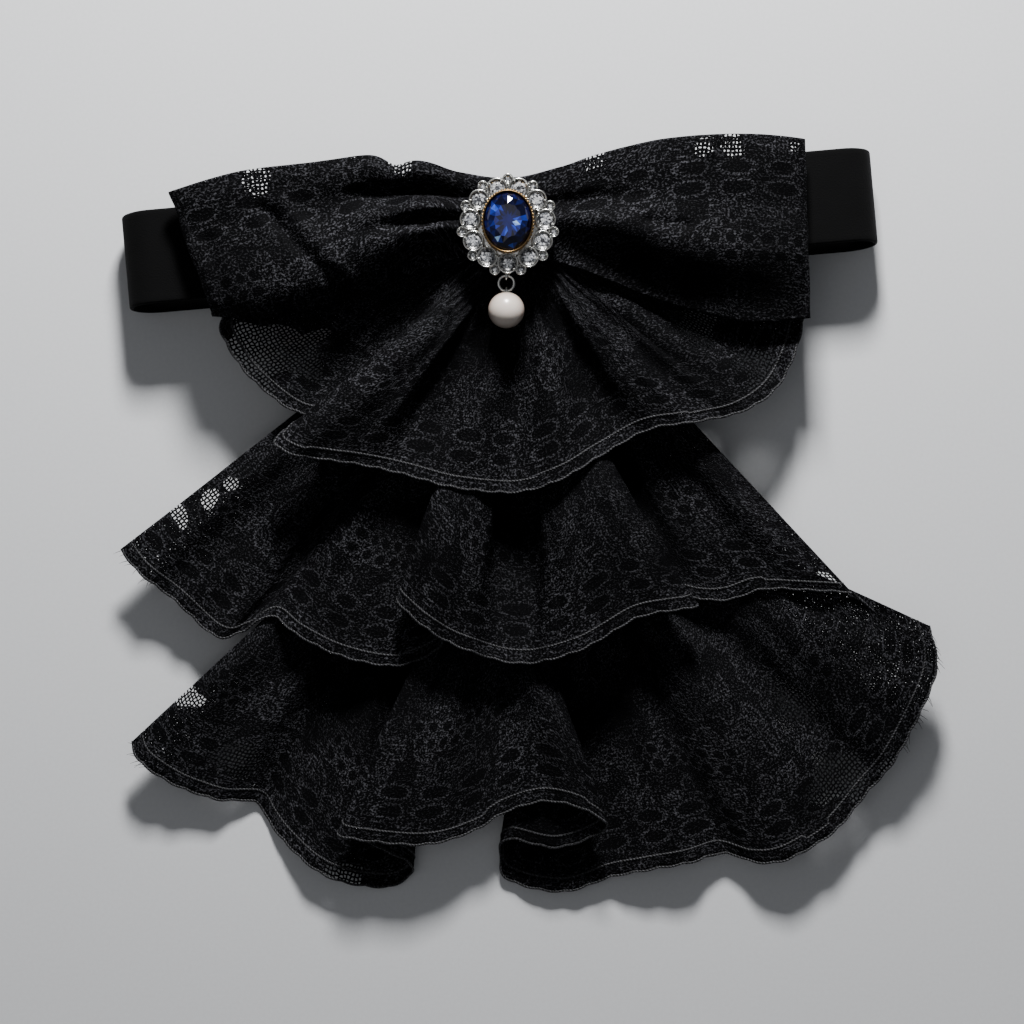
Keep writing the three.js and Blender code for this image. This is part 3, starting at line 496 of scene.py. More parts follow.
def lace_material(name, base, painted_highlight):
    """Black machine lace. Twisted cotton and nylon threads on a fine net: matt and very dark, with painted
    highlights, grey specks in the colour wherever a thread would stand up into the light, most of them on the
    cords that outline flowers, leaves, eyelets and ladders. The pattern follows the cloth: across is the
    length along the hem and up the distance from it, both in mm. The specks are drawn about a thread and a
    half wide, so that they show. The plain places carry painted shade: their specks are dimmed where valleys
    and shadows fall, so they stay dark."""
    material, tree = new_material(name)
    cloth = node(tree, "UVMap", uv_map="UVMap")
    wander = node(
        tree, "TexNoise", {"Vector": cloth, "Scale": 1 / 14, "Detail": 1.0}, output="Color",
        noise_dimensions="2D",
    )
    shifted = node(tree, "VectorMath", wander, (6.0, 6.0, 0.0), cloth, operation="MULTIPLY_ADD")
    across = node(tree, "SeparateXYZ", shifted)
    up = node(tree, "SeparateXYZ", cloth, output=1)

    # Open net: threads along the borders of cells. Cloth stitch: the same, closer, with pinholes.
    net = node(
        tree, "TexVoronoi", {"Vector": cloth, "Scale": 1 / NET_CELL, "Randomness": 0.5},
        voronoi_dimensions="2D", feature="DISTANCE_TO_EDGE",
    )
    net_thread = node(tree, "Math", net, NET_THREAD, operation="LESS_THAN")
    stitch = node(
        tree, "TexVoronoi", {"Vector": cloth, "Scale": 1 / STITCH_CELL, "Randomness": 0.9},
        voronoi_dimensions="2D", feature="DISTANCE_TO_EDGE",
    )
    stitch_thread = node(tree, "Math", stitch, STITCH_THREAD, operation="LESS_THAN")

    # Painted highlights: grey specks at the peaks of a fine grain, a little longer across than up, in faint
    # rows of stitches.
    grain_place = node(
        tree, "VectorMath", cloth, (1 / GLINT_SIZE[0], 1 / GLINT_SIZE[1], 0.0), operation="MULTIPLY"
    )
    grain = node(
        tree, "TexNoise", {"Vector": grain_place, "Scale": 1.0, "Detail": 1.5, "Roughness": 0.6},
        noise_dimensions="2D",
    )
    row = node(tree, "Math", up, 2 * np.pi / STITCH_ROW, operation="MULTIPLY")
    row = node(tree, "Math", row, operation="SINE")
    row = node(tree, "Math", row, 0.25, 0.75, operation="MULTIPLY_ADD")

    # Flowers: round each cell's centre, a border whose reach swells and shrinks five times round.
    flower = node(
        tree, "TexVoronoi", {"Vector": shifted, "Scale": 1 / FLOWER_PITCH, "Randomness": 0.35},
        output="Position", voronoi_dimensions="2D", feature="F1",
    )
    from_centre = node(tree, "VectorMath", shifted, flower, operation="SUBTRACT")
    turn = node(tree, "SeparateColor", flower.node.outputs["Color"])
    angle = node(
        tree, "Math", node(tree, "SeparateXYZ", from_centre, output=1),
        node(tree, "SeparateXYZ", from_centre), operation="ARCTAN2",
    )
    angle = node(tree, "Math", turn, FULL_TURN, angle, operation="MULTIPLY_ADD")
    half_turns = node(tree, "Math", angle, 2.5, operation="MULTIPLY")
    reach = node(tree, "VectorMath", from_centre, output="Value", operation="LENGTH")
    petal = node(tree, "Math", node(tree, "Math", half_turns, operation="COSINE"), operation="ABSOLUTE")
    swell, least = PETAL_SHARE * FLOWER_REACH, (1 - PETAL_SHARE) * FLOWER_REACH
    border = node(tree, "Math", petal, swell, least, operation="MULTIPLY_ADD")
    beyond = node(tree, "Math", reach, border, operation="SUBTRACT")
    in_flower = node(tree, "Math", beyond, 0.0, operation="LESS_THAN")
    vein = node(tree, "Math", reach, node(tree, "Math", half_turns, operation="SINE"), operation="MULTIPLY")

    # Leaves: lens shapes of LEAF_LENGTH to each side of their own cells' centres, each turned its own way.
    moved = node(tree, "VectorMath", shifted, (7.3, 4.1, 0.0), operation="ADD")
    leaf = node(
        tree, "TexVoronoi", {"Vector": moved, "Scale": 1 / LEAF_PITCH, "Randomness": 0.7},
        output="Position", voronoi_dimensions="2D", feature="F1",
    )
    leaf_from = node(tree, "VectorMath", moved, leaf, operation="SUBTRACT")
    leaf_turn = node(tree, "SeparateColor", leaf.node.outputs["Color"], output=1)
    leaf_turn = node(tree, "Math", leaf_turn, FULL_TURN, operation="MULTIPLY")
    turned = node(
        tree, "VectorRotate", {"Vector": leaf_from, "Angle": leaf_turn}, rotation_type="Z_AXIS"
    )
    along_leaf = node(tree, "Math", node(tree, "SeparateXYZ", turned), LEAF_LENGTH, operation="DIVIDE")
    lens = node(tree, "Math", along_leaf, along_leaf, operation="MULTIPLY")
    lens = node(tree, "Math", 1.0, lens, operation="SUBTRACT")
    off_rib = node(tree, "Math", node(tree, "SeparateXYZ", turned, output=1), operation="ABSOLUTE")
    leaf_beyond = node(tree, "Math", lens, -LEAF_WIDTH, off_rib, operation="MULTIPLY_ADD")
    in_leaf = node(tree, "Math", leaf_beyond, 0.0, operation="LESS_THAN")

    # Outlining cords, on the borders, veins and eyes of the motifs: (distance from the line, width, where).
    eye = node(tree, "Math", reach, FLOWER_EYE, operation="SUBTRACT")
    cords = 0.0
    for distance, width, where in (
        (beyond, CORD_WIDTH, 1.0), (leaf_beyond, CORD_WIDTH, 1.0), (vein, VEIN_WIDTH, in_flower),
        (off_rib, LEAF_RIB_WIDTH, in_leaf), (eye, EYE_WIDTH, in_flower),
    ):
        line = node(tree, "Math", distance, 0.0, width / 2, operation="COMPARE")
        line = node(tree, "Math", line, where, operation="MULTIPLY")
        cords = node(tree, "Math", cords, line, operation="MAXIMUM")

    # Pairs of eyelets along the hem, and above them runs of ladder: ovals of net inside thick rims. Each is
    # measured in shares of the oval's reach, below 1 inside.
    run = node(tree, "Math", across, 2 * np.pi / LADDER_RUN, operation="MULTIPLY")
    run = node(tree, "Math", node(tree, "Math", run, operation="COSINE"), 0.1, operation="GREATER_THAN")
    holes, rims, bands = 0.0, 0.0, 0.0
    for ovals, where, margin in ((EYELET, 1.0, 1.2), (LADDER, run, 1.4)):
        x = node(tree, "Math", across, ovals["pitch"], operation="FLOORED_MODULO")
        x = node(tree, "Math", x, ovals["pitch"] / 2, operation="SUBTRACT")
        y = node(tree, "Math", up, ovals["up"], operation="SUBTRACT")
        y = node(tree, "Math", y, operation="ABSOLUTE")
        y = node(tree, "Math", y, ovals["stack"], operation="SUBTRACT")
        place = node(tree, "CombineXYZ", x, y)
        shares = node(tree, "VectorMath", place, (*ovals["reach"], 1.0), operation="DIVIDE")
        oval = node(tree, "VectorMath", shares, output="Value", operation="LENGTH")
        hole = node(tree, "Math", oval, 1.0, operation="LESS_THAN")
        hole = node(tree, "Math", hole, where, operation="MULTIPLY")
        holes = node(tree, "Math", holes, hole, operation="MAXIMUM")
        rim = node(tree, "Math", oval, 1 + ovals["rim"], ovals["rim"], operation="COMPARE")
        rim = node(tree, "Math", rim, where, operation="MULTIPLY")
        rims = node(tree, "Math", rims, rim, operation="MAXIMUM")
        half = ovals["stack"] + ovals["reach"][1] + margin
        band = node(tree, "Math", up, ovals["up"], half, operation="COMPARE")
        band = node(tree, "Math", band, where, operation="MULTIPLY")
        bands = node(tree, "Math", bands, band, operation="MAXIMUM")
    beside = node(tree, "Math", 1.0, bands, operation="SUBTRACT")
    cords = node(tree, "Math", cords, beside, operation="MULTIPLY")
    cords = node(tree, "Math", cords, rims, operation="MAXIMUM")

    # Sheer windows: clean open net round the sheet's sheer places.
    patch = node(
        tree, "TexNoise", {"Vector": cloth, "Scale": 1 / 9, "Detail": 0.0}, noise_dimensions="2D"
    )
    sheer = node(tree, "Attribute", output="Fac", attribute_name="sheer")
    sheer = node(tree, "Math", patch, 0.9, sheer, operation="MULTIPLY_ADD")
    dense = node(tree, "Math", sheer, 1.0, operation="LESS_THAN")
    cords = node(tree, "Math", cords, dense, operation="MULTIPLY")
    threads = node(tree, "Math", dense, stitch_thread, operation="MULTIPLY")
    threads = node(tree, "Math", net_thread, threads, operation="MAXIMUM")
    cover = node(tree, "Math", threads, cords, operation="MAXIMUM")

    # Colour: gaps nearly black; the painted highlights are closest and brightest on cords, fewer in motifs,
    # few on the ground and in the ovals, and uneven over a few centimetres.
    painted_glint = node(tree, "Math", cords, 0.45, -3.45, operation="MULTIPLY_ADD")
    painted_glint = node(tree, "Math", grain, 6.5, painted_glint, operation="MULTIPLY_ADD", use_clamp=True)
    painted_glint = node(tree, "Math", painted_glint, row, operation="MULTIPLY")
    motif = node(tree, "Math", in_flower, in_leaf, operation="MAXIMUM")
    tone = node(tree, "Math", motif, 0.14, 0.42, operation="MULTIPLY_ADD")
    dim = node(tree, "Math", holes, -0.65, 1.0, operation="MULTIPLY_ADD")
    tone = node(tree, "Math", tone, dim, operation="MULTIPLY")
    raised = node(tree, "Math", cords, 0.85, operation="MULTIPLY")
    tone = node(tree, "Math", tone, raised, operation="MAXIMUM")
    fade = node(
        tree, "TexNoise", {"Vector": cloth, "Scale": 1 / 20, "Detail": 2.0}, noise_dimensions="2D"
    )
    fade = node(tree, "Math", fade, 2.0, operation="MULTIPLY")
    # Painted shade: the plain attribute dims the specks where valleys and shadows fall.
    plain = node(tree, "Attribute", output="Fac", attribute_name="plain")
    painted_shade_dim = node(tree, "Math", plain, -0.9, 1.0, operation="MULTIPLY_ADD")
    for share in (fade, painted_shade_dim):
        tone = node(tree, "Math", tone, share, operation="MULTIPLY")
    light = node(tree, "Math", painted_glint, tone, operation="MULTIPLY", use_clamp=True)
    colour = node(tree, "Mix", light, {6: base, 7: painted_highlight}, output=2, data_type="RGBA")

    # Thread heights for the bump: the cords stand highest.
    height = node(tree, "Math", cords, 0.7, node(tree, "Math", painted_glint, 0.6, operation="MULTIPLY"),
                  operation="MULTIPLY_ADD")
    finish(
        tree, colour, {"Roughness": 0.78, "Alpha": cover, "Specular IOR Level": 0.04}, height, 0.35, 0.8
    )
    return material


def cord_material(painted_highlight):
    """Gimp cord: cotton strands twisted together and couched along the hem. The slanting strands carry
    painted highlights, grey specks like those of the lace, and the grooves between them carry painted shade."""
    material, tree = new_material("gimp_cord_twisted")
    place = node(tree, "UVMap", uv_map="UVMap")
    grain = node(
        tree, "TexNoise", {"Vector": place, "Scale": 1 / 0.6, "Detail": 1.0}, noise_dimensions="2D"
    )
    painted_glint = node(tree, "Math", grain, 5.0, -2.1, operation="MULTIPLY_ADD", use_clamp=True)
    turns = node(tree, "Math", node(tree, "SeparateXYZ", place), 1.1, operation="DIVIDE")
    round_it = node(tree, "SeparateXYZ", place, output=1)
    slant = node(tree, "Math", round_it, 2.0, turns, operation="MULTIPLY_ADD")
    strand = node(tree, "Math", slant, np.pi, operation="MULTIPLY")
    strand = node(tree, "Math", node(tree, "Math", strand, operation="SINE"), operation="ABSOLUTE")
    # Painted highlights on the strands and painted shade in the grooves between them.
    light = node(tree, "Math", strand, painted_glint, operation="MULTIPLY")
    colour = node(
        tree, "Mix", light, {6: hex_linear("#060607"), 7: painted_highlight}, output=2, data_type="RGBA"
    )
    finish(tree, colour, {"Roughness": 0.55, "Specular IOR Level": 0.3}, strand, 0.2, 0.8)
    return material


def velvet_material():
    """Black rayon velvet ribbon: a short dense pile that swallows light seen from above and shows a soft
    sheen at grazing angles. The pile leans in small patches, and the uneven sheen this gives is painted into
    the colour as lighter and darker patches."""
    material, tree = new_material("rayon_velvet_woven")
    place = node(tree, "TexCoord", output="Object")
    pile = node(tree, "TexNoise", {"Vector": place, "Scale": 1 / (0.5 * MM), "Detail": 2.0})
    lean = node(tree, "TexNoise", {"Vector": place, "Scale": 1 / (9 * MM), "Detail": 2.0})
    # Painted sheen: lighter and darker patches where the pile leans, with the pile's own fine grain.
    mixed = node(tree, "Math", lean, 0.6, node(tree, "Math", pile, 0.4, operation="MULTIPLY"),
                 operation="MULTIPLY_ADD")
    colour = node(
        tree, "Mix", mixed, {6: hex_linear("#010101"), 7: hex_linear("#060607")}, output=2, data_type="RGBA"
    )
    sheen = {"Sheen Weight": 0.05, "Sheen Roughness": 0.3, "Sheen Tint": hex_linear("#9a9aa2")}
    finish(tree, colour, {"Roughness": 0.95, "Specular IOR Level": 0.12, **sheen}, pile, 0.25, 0.6)
    return material


def tape_material(name, base, painted_highlight, rib):
    """Woven polyester tape: fine ribs across it, rib mm apart, with a dull shine, painted highlights on the
    rib crests and painted shade in the grooves.
    """
    material, tree = new_material(name)
    place = node(tree, "TexCoord", output="Object")
    up = node(tree, "SeparateXYZ", place, output=1)
    wave = node(tree, "Math", up, 2 * np.pi / (rib * MM), operation="MULTIPLY")
    wave = node(tree, "Math", wave, operation="SINE")
    wave = node(tree, "Math", wave, 0.5, 0.5, operation="MULTIPLY_ADD")
    grain = node(tree, "TexNoise", {"Vector": place, "Scale": 1 / (0.4 * MM), "Detail": 2.0})
    # Painted highlights on the rib crests and painted shade in the grooves, with a fine grain.
    mixed = node(tree, "Math", wave, grain, operation="MULTIPLY")
    colour = node(
        tree, "Mix", mixed, {6: hex_linear(base), 7: hex_linear(painted_highlight)}, output=2, data_type="RGBA"
    )
    finish(tree, colour, {"Roughness": 0.55}, wave, 0.15, 0.6)
    return material


def metal_material(name, base, worn, roughness, wear):
    """Cast and plated metal: polished by hand, so the shine is a little uneven, and dull in scattered spots
    about wear mm across where fingers and cloth rub it."""
    material, tree = new_material(name)
    place = node(tree, "TexCoord", output="Object")
    spots = node(tree, "TexNoise", {"Vector": place, "Scale": 1 / (wear * MM), "Detail": 3.0})
    colour = node(
        tree, "Mix", spots, {6: hex_linear(base), 7: hex_linear(worn)}, output=2, data_type="RGBA"
    )
    dull = node(tree, "Math", spots, 0.18, roughness, operation="MULTIPLY_ADD")
    finish(tree, colour, {"Metallic": 1.0, "Roughness": dull}, spots, 0.03, 0.4)
    return material


# Painted reflections: colours that a cut stone's facets show, as shares of the way from the darkest to the
# brightest.
CRYSTAL_REFLECTION_STEPS = ((0.0, "#15161a"), (0.25, "#4f5258"), (0.5, "#9a9ca1"), (0.75, "#dadbde"), (1.0, "#ffffff"))
BLUE_REFLECTION_STEPS = (
    (0.0, "#020210"), (0.3, "#060928"), (0.5, "#10195c"),
    (0.72, "#2038a8"), (0.88, "#3c62dc"), (1.0, "#a8d0ff"),
)


def faceted_material(name, steps, metallic, index, reflection_fleck):
    """Cut glass over a foiled back. The reflections of the foil, the setting and the cloth below, which each
    facet shows, are painted into its colour as a tone of its own: steps are (share, colour) pairs, read by
    the attribute facet. Painted reflections of the facets behind it come in flecks reflection_fleck[0] mm
    across and shift the tone by reflection_fleck[1]."""
    material, tree = new_material(name)
    tone = node(tree, "Attribute", output="Fac", attribute_name="facet")
    place = node(tree, "TexCoord", output="Object")
    depth = node(tree, "TexNoise", {"Vector": place, "Scale": 1 / (reflection_fleck[0] * MM), "Detail": 1.0})
    depth = node(tree, "Math", depth, 0.5, operation="SUBTRACT")
    mixed = node(tree, "Math", depth, reflection_fleck[1], tone, operation="MULTIPLY_ADD", use_clamp=True)
    shade = node(tree, "ValToRGB", mixed)
    ramp = shade.node.color_ramp
    ramp.elements[0].position, ramp.elements[0].color = steps[0][0], hex_linear(steps[0][1])
    ramp.elements[1].position, ramp.elements[1].color = steps[-1][0], hex_linear(steps[-1][1])
    for share, colour in steps[1:-1]:
        ramp.elements.new(share).color = hex_linear(colour)
    coat = {"Coat Weight": 1.0, "Coat Roughness": 0.02}
    finish(tree, shade, {"Roughness": 0.04, "Metallic": metallic, "IOR": index, **coat})
    return material


def pearl_material():
    """Shell pearl with a lacquered nacre coat: warm white, a satin glow, and painted shade that turns it
    darker and browner towards its rim as seen, with very shallow unevenness."""
    material, tree = new_material("shell_pearl_lacquered")
    place = node(tree, "TexCoord", output="Object")
    cloud = node(tree, "TexNoise", {"Vector": place, "Scale": 1 / (4 * MM), "Detail": 2.0})
    # Painted shade: darker and browner towards the rim, where the surface turns away from the view.
    facing = node(tree, "LayerWeight", {"Blend": 0.35}, output="Facing")
    facing = node(tree, "Math", facing, 0.75, operation="MULTIPLY")
    mixed = node(tree, "Math", cloud, 0.25, facing, operation="MULTIPLY_ADD", use_clamp=True)
    colour = node(
        tree, "Mix", mixed, {6: hex_linear("#d8cec4"), 7: hex_linear("#8f7768")}, output=2, data_type="RGBA"
    )
    coat = {"Coat Weight": 0.7, "Coat Roughness": 0.2, "Subsurface Weight": 0.04, "Subsurface Scale": 0.002}
    finish(tree, colour, {"Roughness": 0.34, **coat}, cloud, 0.05, 0.3)
    return material


def paper_material():
    """Seamless studio paper: pale, matt, with a very faint tooth."""
    material, tree = new_material("studio_paper")
    place = node(tree, "TexCoord", output="Object")
    tooth = node(tree, "TexNoise", {"Vector": place, "Scale": 1 / (1.2 * MM), "Detail": 3.0})
    colour = node(
        tree, "Mix", tooth, {6: hex_linear("#c9cacc"), 7: hex_linear("#d3d4d6")}, output=2, data_type="RGBA"
    )
    finish(tree, colour, {"Roughness": 0.9})
    return material


# ---------------------------------------------------------------- ruffle tiers

def table_columns(rows, names):
    """The table's columns as arrays, by name."""
    return dict(zip(names, np.array(rows, float).T))


def hem_at(size, ribs, position):
    """The hem's points: out across the tier, down from its top and up from the floor, through the ribs."""
    return np.stack(
        [
            size["half_width"] * column_at(ribs["out"], position),
            size["top"] - size["drop"] * column_at(ribs["down"], position),
            size["height"] * column_at(ribs["lift"], position),
        ],
        axis=-1,
    )


# Folds that run down each tier: the rib that each follows, and its height in mm, below zero for a valley.
TIER_FOLDS = {
    "upper": (
        (0, 0), (2, 1.0), (3.2, -1.0), (4.4, -0.6), (5.8, -1.2), (7.0, 0.4), (8.2, 3.0), (9.1, 3.4),
        (9.7, -2.8), (10.6, -3.6), (11.2, 1.0), (12.0, -1.6), (12.6, 0.8), (13.3, 2.6), (13.9, -0.6),
        (14.4, -1.0), (15.0, 3.0), (15.6, 2.6), (16.1, -2.6), (16.9, -2.4), (17.6, 1.6), (18.4, 1.2),
        (19.2, -0.5), (20, 0),
    ),
    "middle": (
        (0, 0), (1, 1.6), (2.1, -1.4), (3.3, 1.4), (4.6, -1.6), (5.8, 2.0), (6.8, -1.4), (8.2, -1.6),
        (9.4, -0.4), (10.6, 2.0), (12.4, 2.2), (13.8, 2.0), (14.1, 1.2), (14.6, -5.4), (15.2, -5.6),
        (15.7, 1.4), (16.0, 2.8), (17.4, 2.0), (18.4, -2.4), (20.2, -1.2), (21.4, 2.0), (22.4, 1.6),
        (23.2, -0.8), (24.2, 1.4), (25, 0),
    ),
    "lower": (
        (0, 0), (1, 1.2), (2.2, -1.2), (3.4, 1.2), (4.7, -0.8), (6, -1.5), (7, -0.8), (13, 0.6), (14, 1.4),
        (15.2, -1.4), (16.7, -1.6), (18, 1.5), (19, 0), (24.5, 0), (25.6, -0.8), (27, -1.8), (28.2, 0.4),
        (29.4, 1.6), (30.8, -1.2), (32, 1.2), (33.4, -1.4), (34.8, 0.8), (36, -0.8), (37, 0),
    ),
}


def ruffle_surface(size, rows, grid, folds, look):
    """A tier of gathered lace. Each rib runs from its place on the arc of gathers to its place on the hem;
    its height climbs by v(2 - v) and bulges by 4 v(1 - v) of the belly. Folds follow the ribs. Small pleats
    fade out below the gathers, flutes grow towards the hem, and the hem's scallops are half waves of the
    cloth's length."""
    ribs = table_columns(rows, RIB_COLUMNS)
    (columns, steps), count, seed = grid, len(rows), look["seed"]
    fine = np.linspace(0, count - 1, 40 * count)
    run = lengths_along(hem_at(size, ribs, fine), 0)
    across = np.linspace(0, run[-1], columns)
    position = np.interp(across, run, fine)
    hem = hem_at(size, ribs, position)
    belly = size["height"] * column_at(ribs["belly"], position)
    room = np.concatenate([[0], np.cumsum(ribs["gather"][1:])])
    share = np.interp(position, np.arange(count), room) / room[-1]
    side = 2 * share - 1
    head = np.stack(
        [
            size["head_half"] * side,
            size["head_up"] - size["head_dip"] * (1 - side**2),
            np.full(columns, float(size["head_rise"])),
        ],
        axis=-1,
    )
    down = np.linspace(0, 1, steps)
    climb = down * (2 - down)
    points = head[:, None] + (hem - head)[:, None] * down[None, :, None]
    lift = head[:, None, 2] + (hem - head)[:, None, 2] * climb + 4 * belly[:, None] * down * (1 - down)
    fade = np.maximum(0, 1 - down / GATHER_REACH)
    pleat = GATHER_HEIGHT * (1 - side**2) * np.sin(2 * np.pi * GATHER_COUNT * share)
    points[..., 2] = lift + pleat[:, None] * fade
    # The cloth's own measures: along the hem, and up from it.
    drop = lengths_along(points, 1)
    up = drop[:, -1:] - drop
    # Scallops push the hem out along the ribs.
    scallop = np.abs(np.sin(np.pi * across / SCALLOP["pitch"])) - 0.5
    edge = np.clip(1 - up / SCALLOP["reach"], 0, 1)
    along_rib = points[:, -1] - points[:, -6]
    along_rib /= np.linalg.norm(along_rib, axis=-1, keepdims=True)
    points = points + along_rib[:, None] * (SCALLOP["depth"] * scallop[:, None] * edge**2)[..., None]
    # Flutes, folds and crumple move the cloth along its normals, which look up.
    normal = -surface_normals(points)
    run_on = across[:, None]
    wander = 1.6 * smooth_noise(up / 40 + 3, run_on / 60 + 7, seed)
    flute = np.sin(2 * np.pi * run_on / look["flute_pitch"] + 3 * wander)
    fine_pleat = np.sin(2 * np.pi * FINE_PLEATS * share[:, None] + 2 * wander)
    crumple = smooth_noise(run_on / 9 + 5, up / 22 + 11, seed + 1)
    crumple = crumple + 0.5 * smooth_noise(run_on / 4.5, up / 9, seed + 2)
    ribs_at, heights = np.array(folds, float).T
    before = np.clip(np.searchsorted(ribs_at, position, side="right") - 1, 0, len(folds) - 2)
    blend = eased((position - ribs_at[before]) / (ribs_at[before + 1] - ribs_at[before]))
    fold = heights[before] * (1 - blend) + heights[before + 1] * blend
    grown = np.clip((down - look["fold_start"]) / FOLD_GROWTH, 0, 1)
    reach = grown * (1 - HEM_FLATTENING * np.clip((down - 0.7) / 0.3, 0, 1))
    rise = fold[:, None] * reach + look["flute_height"] * flute * down**1.5
    rise = rise + look["crumple"] * crumple * np.clip(down * 3, 0, 1)
    rise = rise + FINE_PLEAT_HEIGHT * fine_pleat * np.clip(1 - down / 0.6, 0, 1)
    points = points + normal * rise[..., None]
    points[..., 2] = np.maximum(points[..., 2], FLOOR_GAP)
    uv = np.stack([np.broadcast_to(across[:, None], up.shape), up], axis=-1)
    return points, uv


def strand_uv(path, sides):
    """UV of a strand: the length along it in mm, and the share of the way round it."""
    grid = np.meshgrid(lengths_along(path, 0), np.arange(sides) / sides, indexing="ij")
    return np.stack(grid, axis=-1).reshape(-1, 2)


def hem_cords(points, uv, radius, sides=6):
    """Two cords along the hem: one on the edge and one HEM_BORDER above it, each a tube round the cloth's
    line at that distance. UV runs along the cord and once round it."""
    parts, coords = [], []
    normal = surface_normals(points)
    for up in (0.0, HEM_BORDER):
        row = np.argmin(np.abs(uv[..., 1] - up), axis=1)
        pick = np.arange(len(row))
        path = points[pick, row]
        facing = normal[pick, row]
        tangent = np.gradient(path, axis=0)
        across = np.cross(facing, tangent)
        rings = tube_rings(path, across, radius, sides)
        parts.append((rings, capped_faces(len(path), sides)))
        coords.append(strand_uv(path, sides))
    joined, faces = join_parts(parts)
    return joined, faces, np.concatenate(coords)


def loose_threads(edge, count, lengths, lean, radius, seed, sides=5):
    """Frayed threads along an edge: each starts at a point of the edge and runs out by its own length along
    its own lean, sagging as the square of the way, and tapers to its tip."""
    chance = np.random.default_rng(seed)
    along = np.linspace(0, 1, 7)[:, None]
    parts, coords = [], []
    for start in chance.choice(len(edge), count, replace=False):
        way = np.array(lean) + chance.normal(0, 0.35, 3) * (1, 1, 0.3) * (count > 1)
        way *= chance.uniform(*lengths) / np.linalg.norm(way)
        path = edge[start] + way * along - np.array((0, 0.6, 0.9)) * along**2
        across = np.broadcast_to((0.0, 0.0, 1.0), path.shape)
        taper = radius * (1 - 0.75 * along[:, 0])
        parts.append((tube_rings(path, across, taper, sides), capped_faces(len(along), sides)))
        coords.append(strand_uv(path, sides))
    joined, faces = join_parts(parts)
    return joined, faces, np.concatenate(coords)


def cloth_object(name, points, uv, material, places, closed=False):
    """A lace sheet from a grid of points, given its wall. Its faces look up. The attributes sheer, for open
    net, and plain, for painted shade, are the strongest of the bell curves round the sheet's places of each
    kind."""
    faces = grid_faces(len(points), points.shape[1], closed_rows=closed)
    obj = mesh_object(name, points, faces[:, ::-1], material, uv)
    for name, spots in places.items():
        strength = np.zeros(points.shape[:2])
        for x, y, reach in spots:
            off = np.hypot(points[..., 0] - x, points[..., 1] - y)
            strength = np.maximum(strength, np.exp(-((off / reach) ** 2)))
        layer = obj.data.attributes.new(name, "FLOAT", "POINT")
        layer.data.foreach_set("value", strength.ravel())
    return give_wall(obj, LACE_THICKNESS)


# Places where the lace is open net (sheer), and places of painted shade (plain), where its specks are dimmed
# in the valleys and shadows: centre on the plan and reach, in mm.
LACE_PLACES = {
    "upper": {
        "sheer": ((-81, -39, 14), (-66, -38, 10), (-85, -50, 9), (61, -31, 8.8), (78, -44, 7.5)),
        "plain": (
            (-17, -40, 8), (-10, -37, 7), (-2, -37, 5), (16, -29, 5), (24, -39, 6), (22, -49, 5),
            (47, -42, 9),
        ),
    },
    "middle": {
        "sheer": ((-105, -92, 5.5), (-97, -85, 5.0), (-89, -80, 3.5), (99, -116, 9)),
        "plain": (
            (2, -95, 10), (-2, -87, 6), (43, -87, 8), (37, -76, 7), (51, -105, 8), (-31, -94, 8),
            (-26, -105, 7),
        ),
    },
    "lower": {
        "sheer": (
            (-103, -150, 6.5), (-87, -170, 9), (106, -176, 11), (91, -152, 10), (124, -172, 5),
            (-55, -207, 7),
        ),
        "plain": ((-48, -152, 12), (-37, -146, 9), (-63, -162, 6), (35, -155, 12), (12, -195, 12)),
    },
    "bow": {
        "sheer": (
            (-79, 15, 6.2), (-34, 21, 4.6), (27, 20.5, 4.6), (62, 25, 3.8), (71, 26, 5), (91, 26, 2.8),
        ),
        "plain": ((61, -15, 12), (83, -18, 12), (42, -10, 8)),
    },
}


# Each tier's finish: where its folds start, as a share of its drop, the pitch and height of its flutes, the
# height of its crumple, in mm, and its number for the noise.
TIER_LOOKS = {
    "upper": {"fold_start": 0.14, "flute_pitch": 13.0, "flute_height": 0.35, "crumple": 0.35, "seed": 31},
    "middle": {"fold_start": 0.34, "flute_pitch": 15.0, "flute_height": 0.35, "crumple": 0.35, "seed": 21},
    "lower": {"fold_start": 0.4, "flute_pitch": 15.0, "flute_height": 0.25, "crumple": 0.3, "seed": 11},
}
CORD_RADIUS = 0.42
# Loose threads at the cut ends: stretch of the hem as shares, how many, lengths, lean and radius in mm.
LOOSE_THREADS = {
    "middle": {
        "corner_thread": ((0.99, 1.0), 1, (13, 14), (0.78, -0.62, -0.1), 0.55),
        "left_frayed_threads": ((0.0, 0.05), 10, (1.5, 3.5), (-0.9, -0.2, -0.1), 0.13),
    },
    "lower": {
        "left_frayed_threads": ((0.0, 0.03), 8, (1.5, 3.5), (-0.9, 0.2, -0.1), 0.13),
        "right_frayed_threads": ((0.915, 1.0), 24, (1.5, 4), (0.75, -0.75, -0.1), 0.14),
    },
}


# ---------------------------------------------------------------- bow and neckband

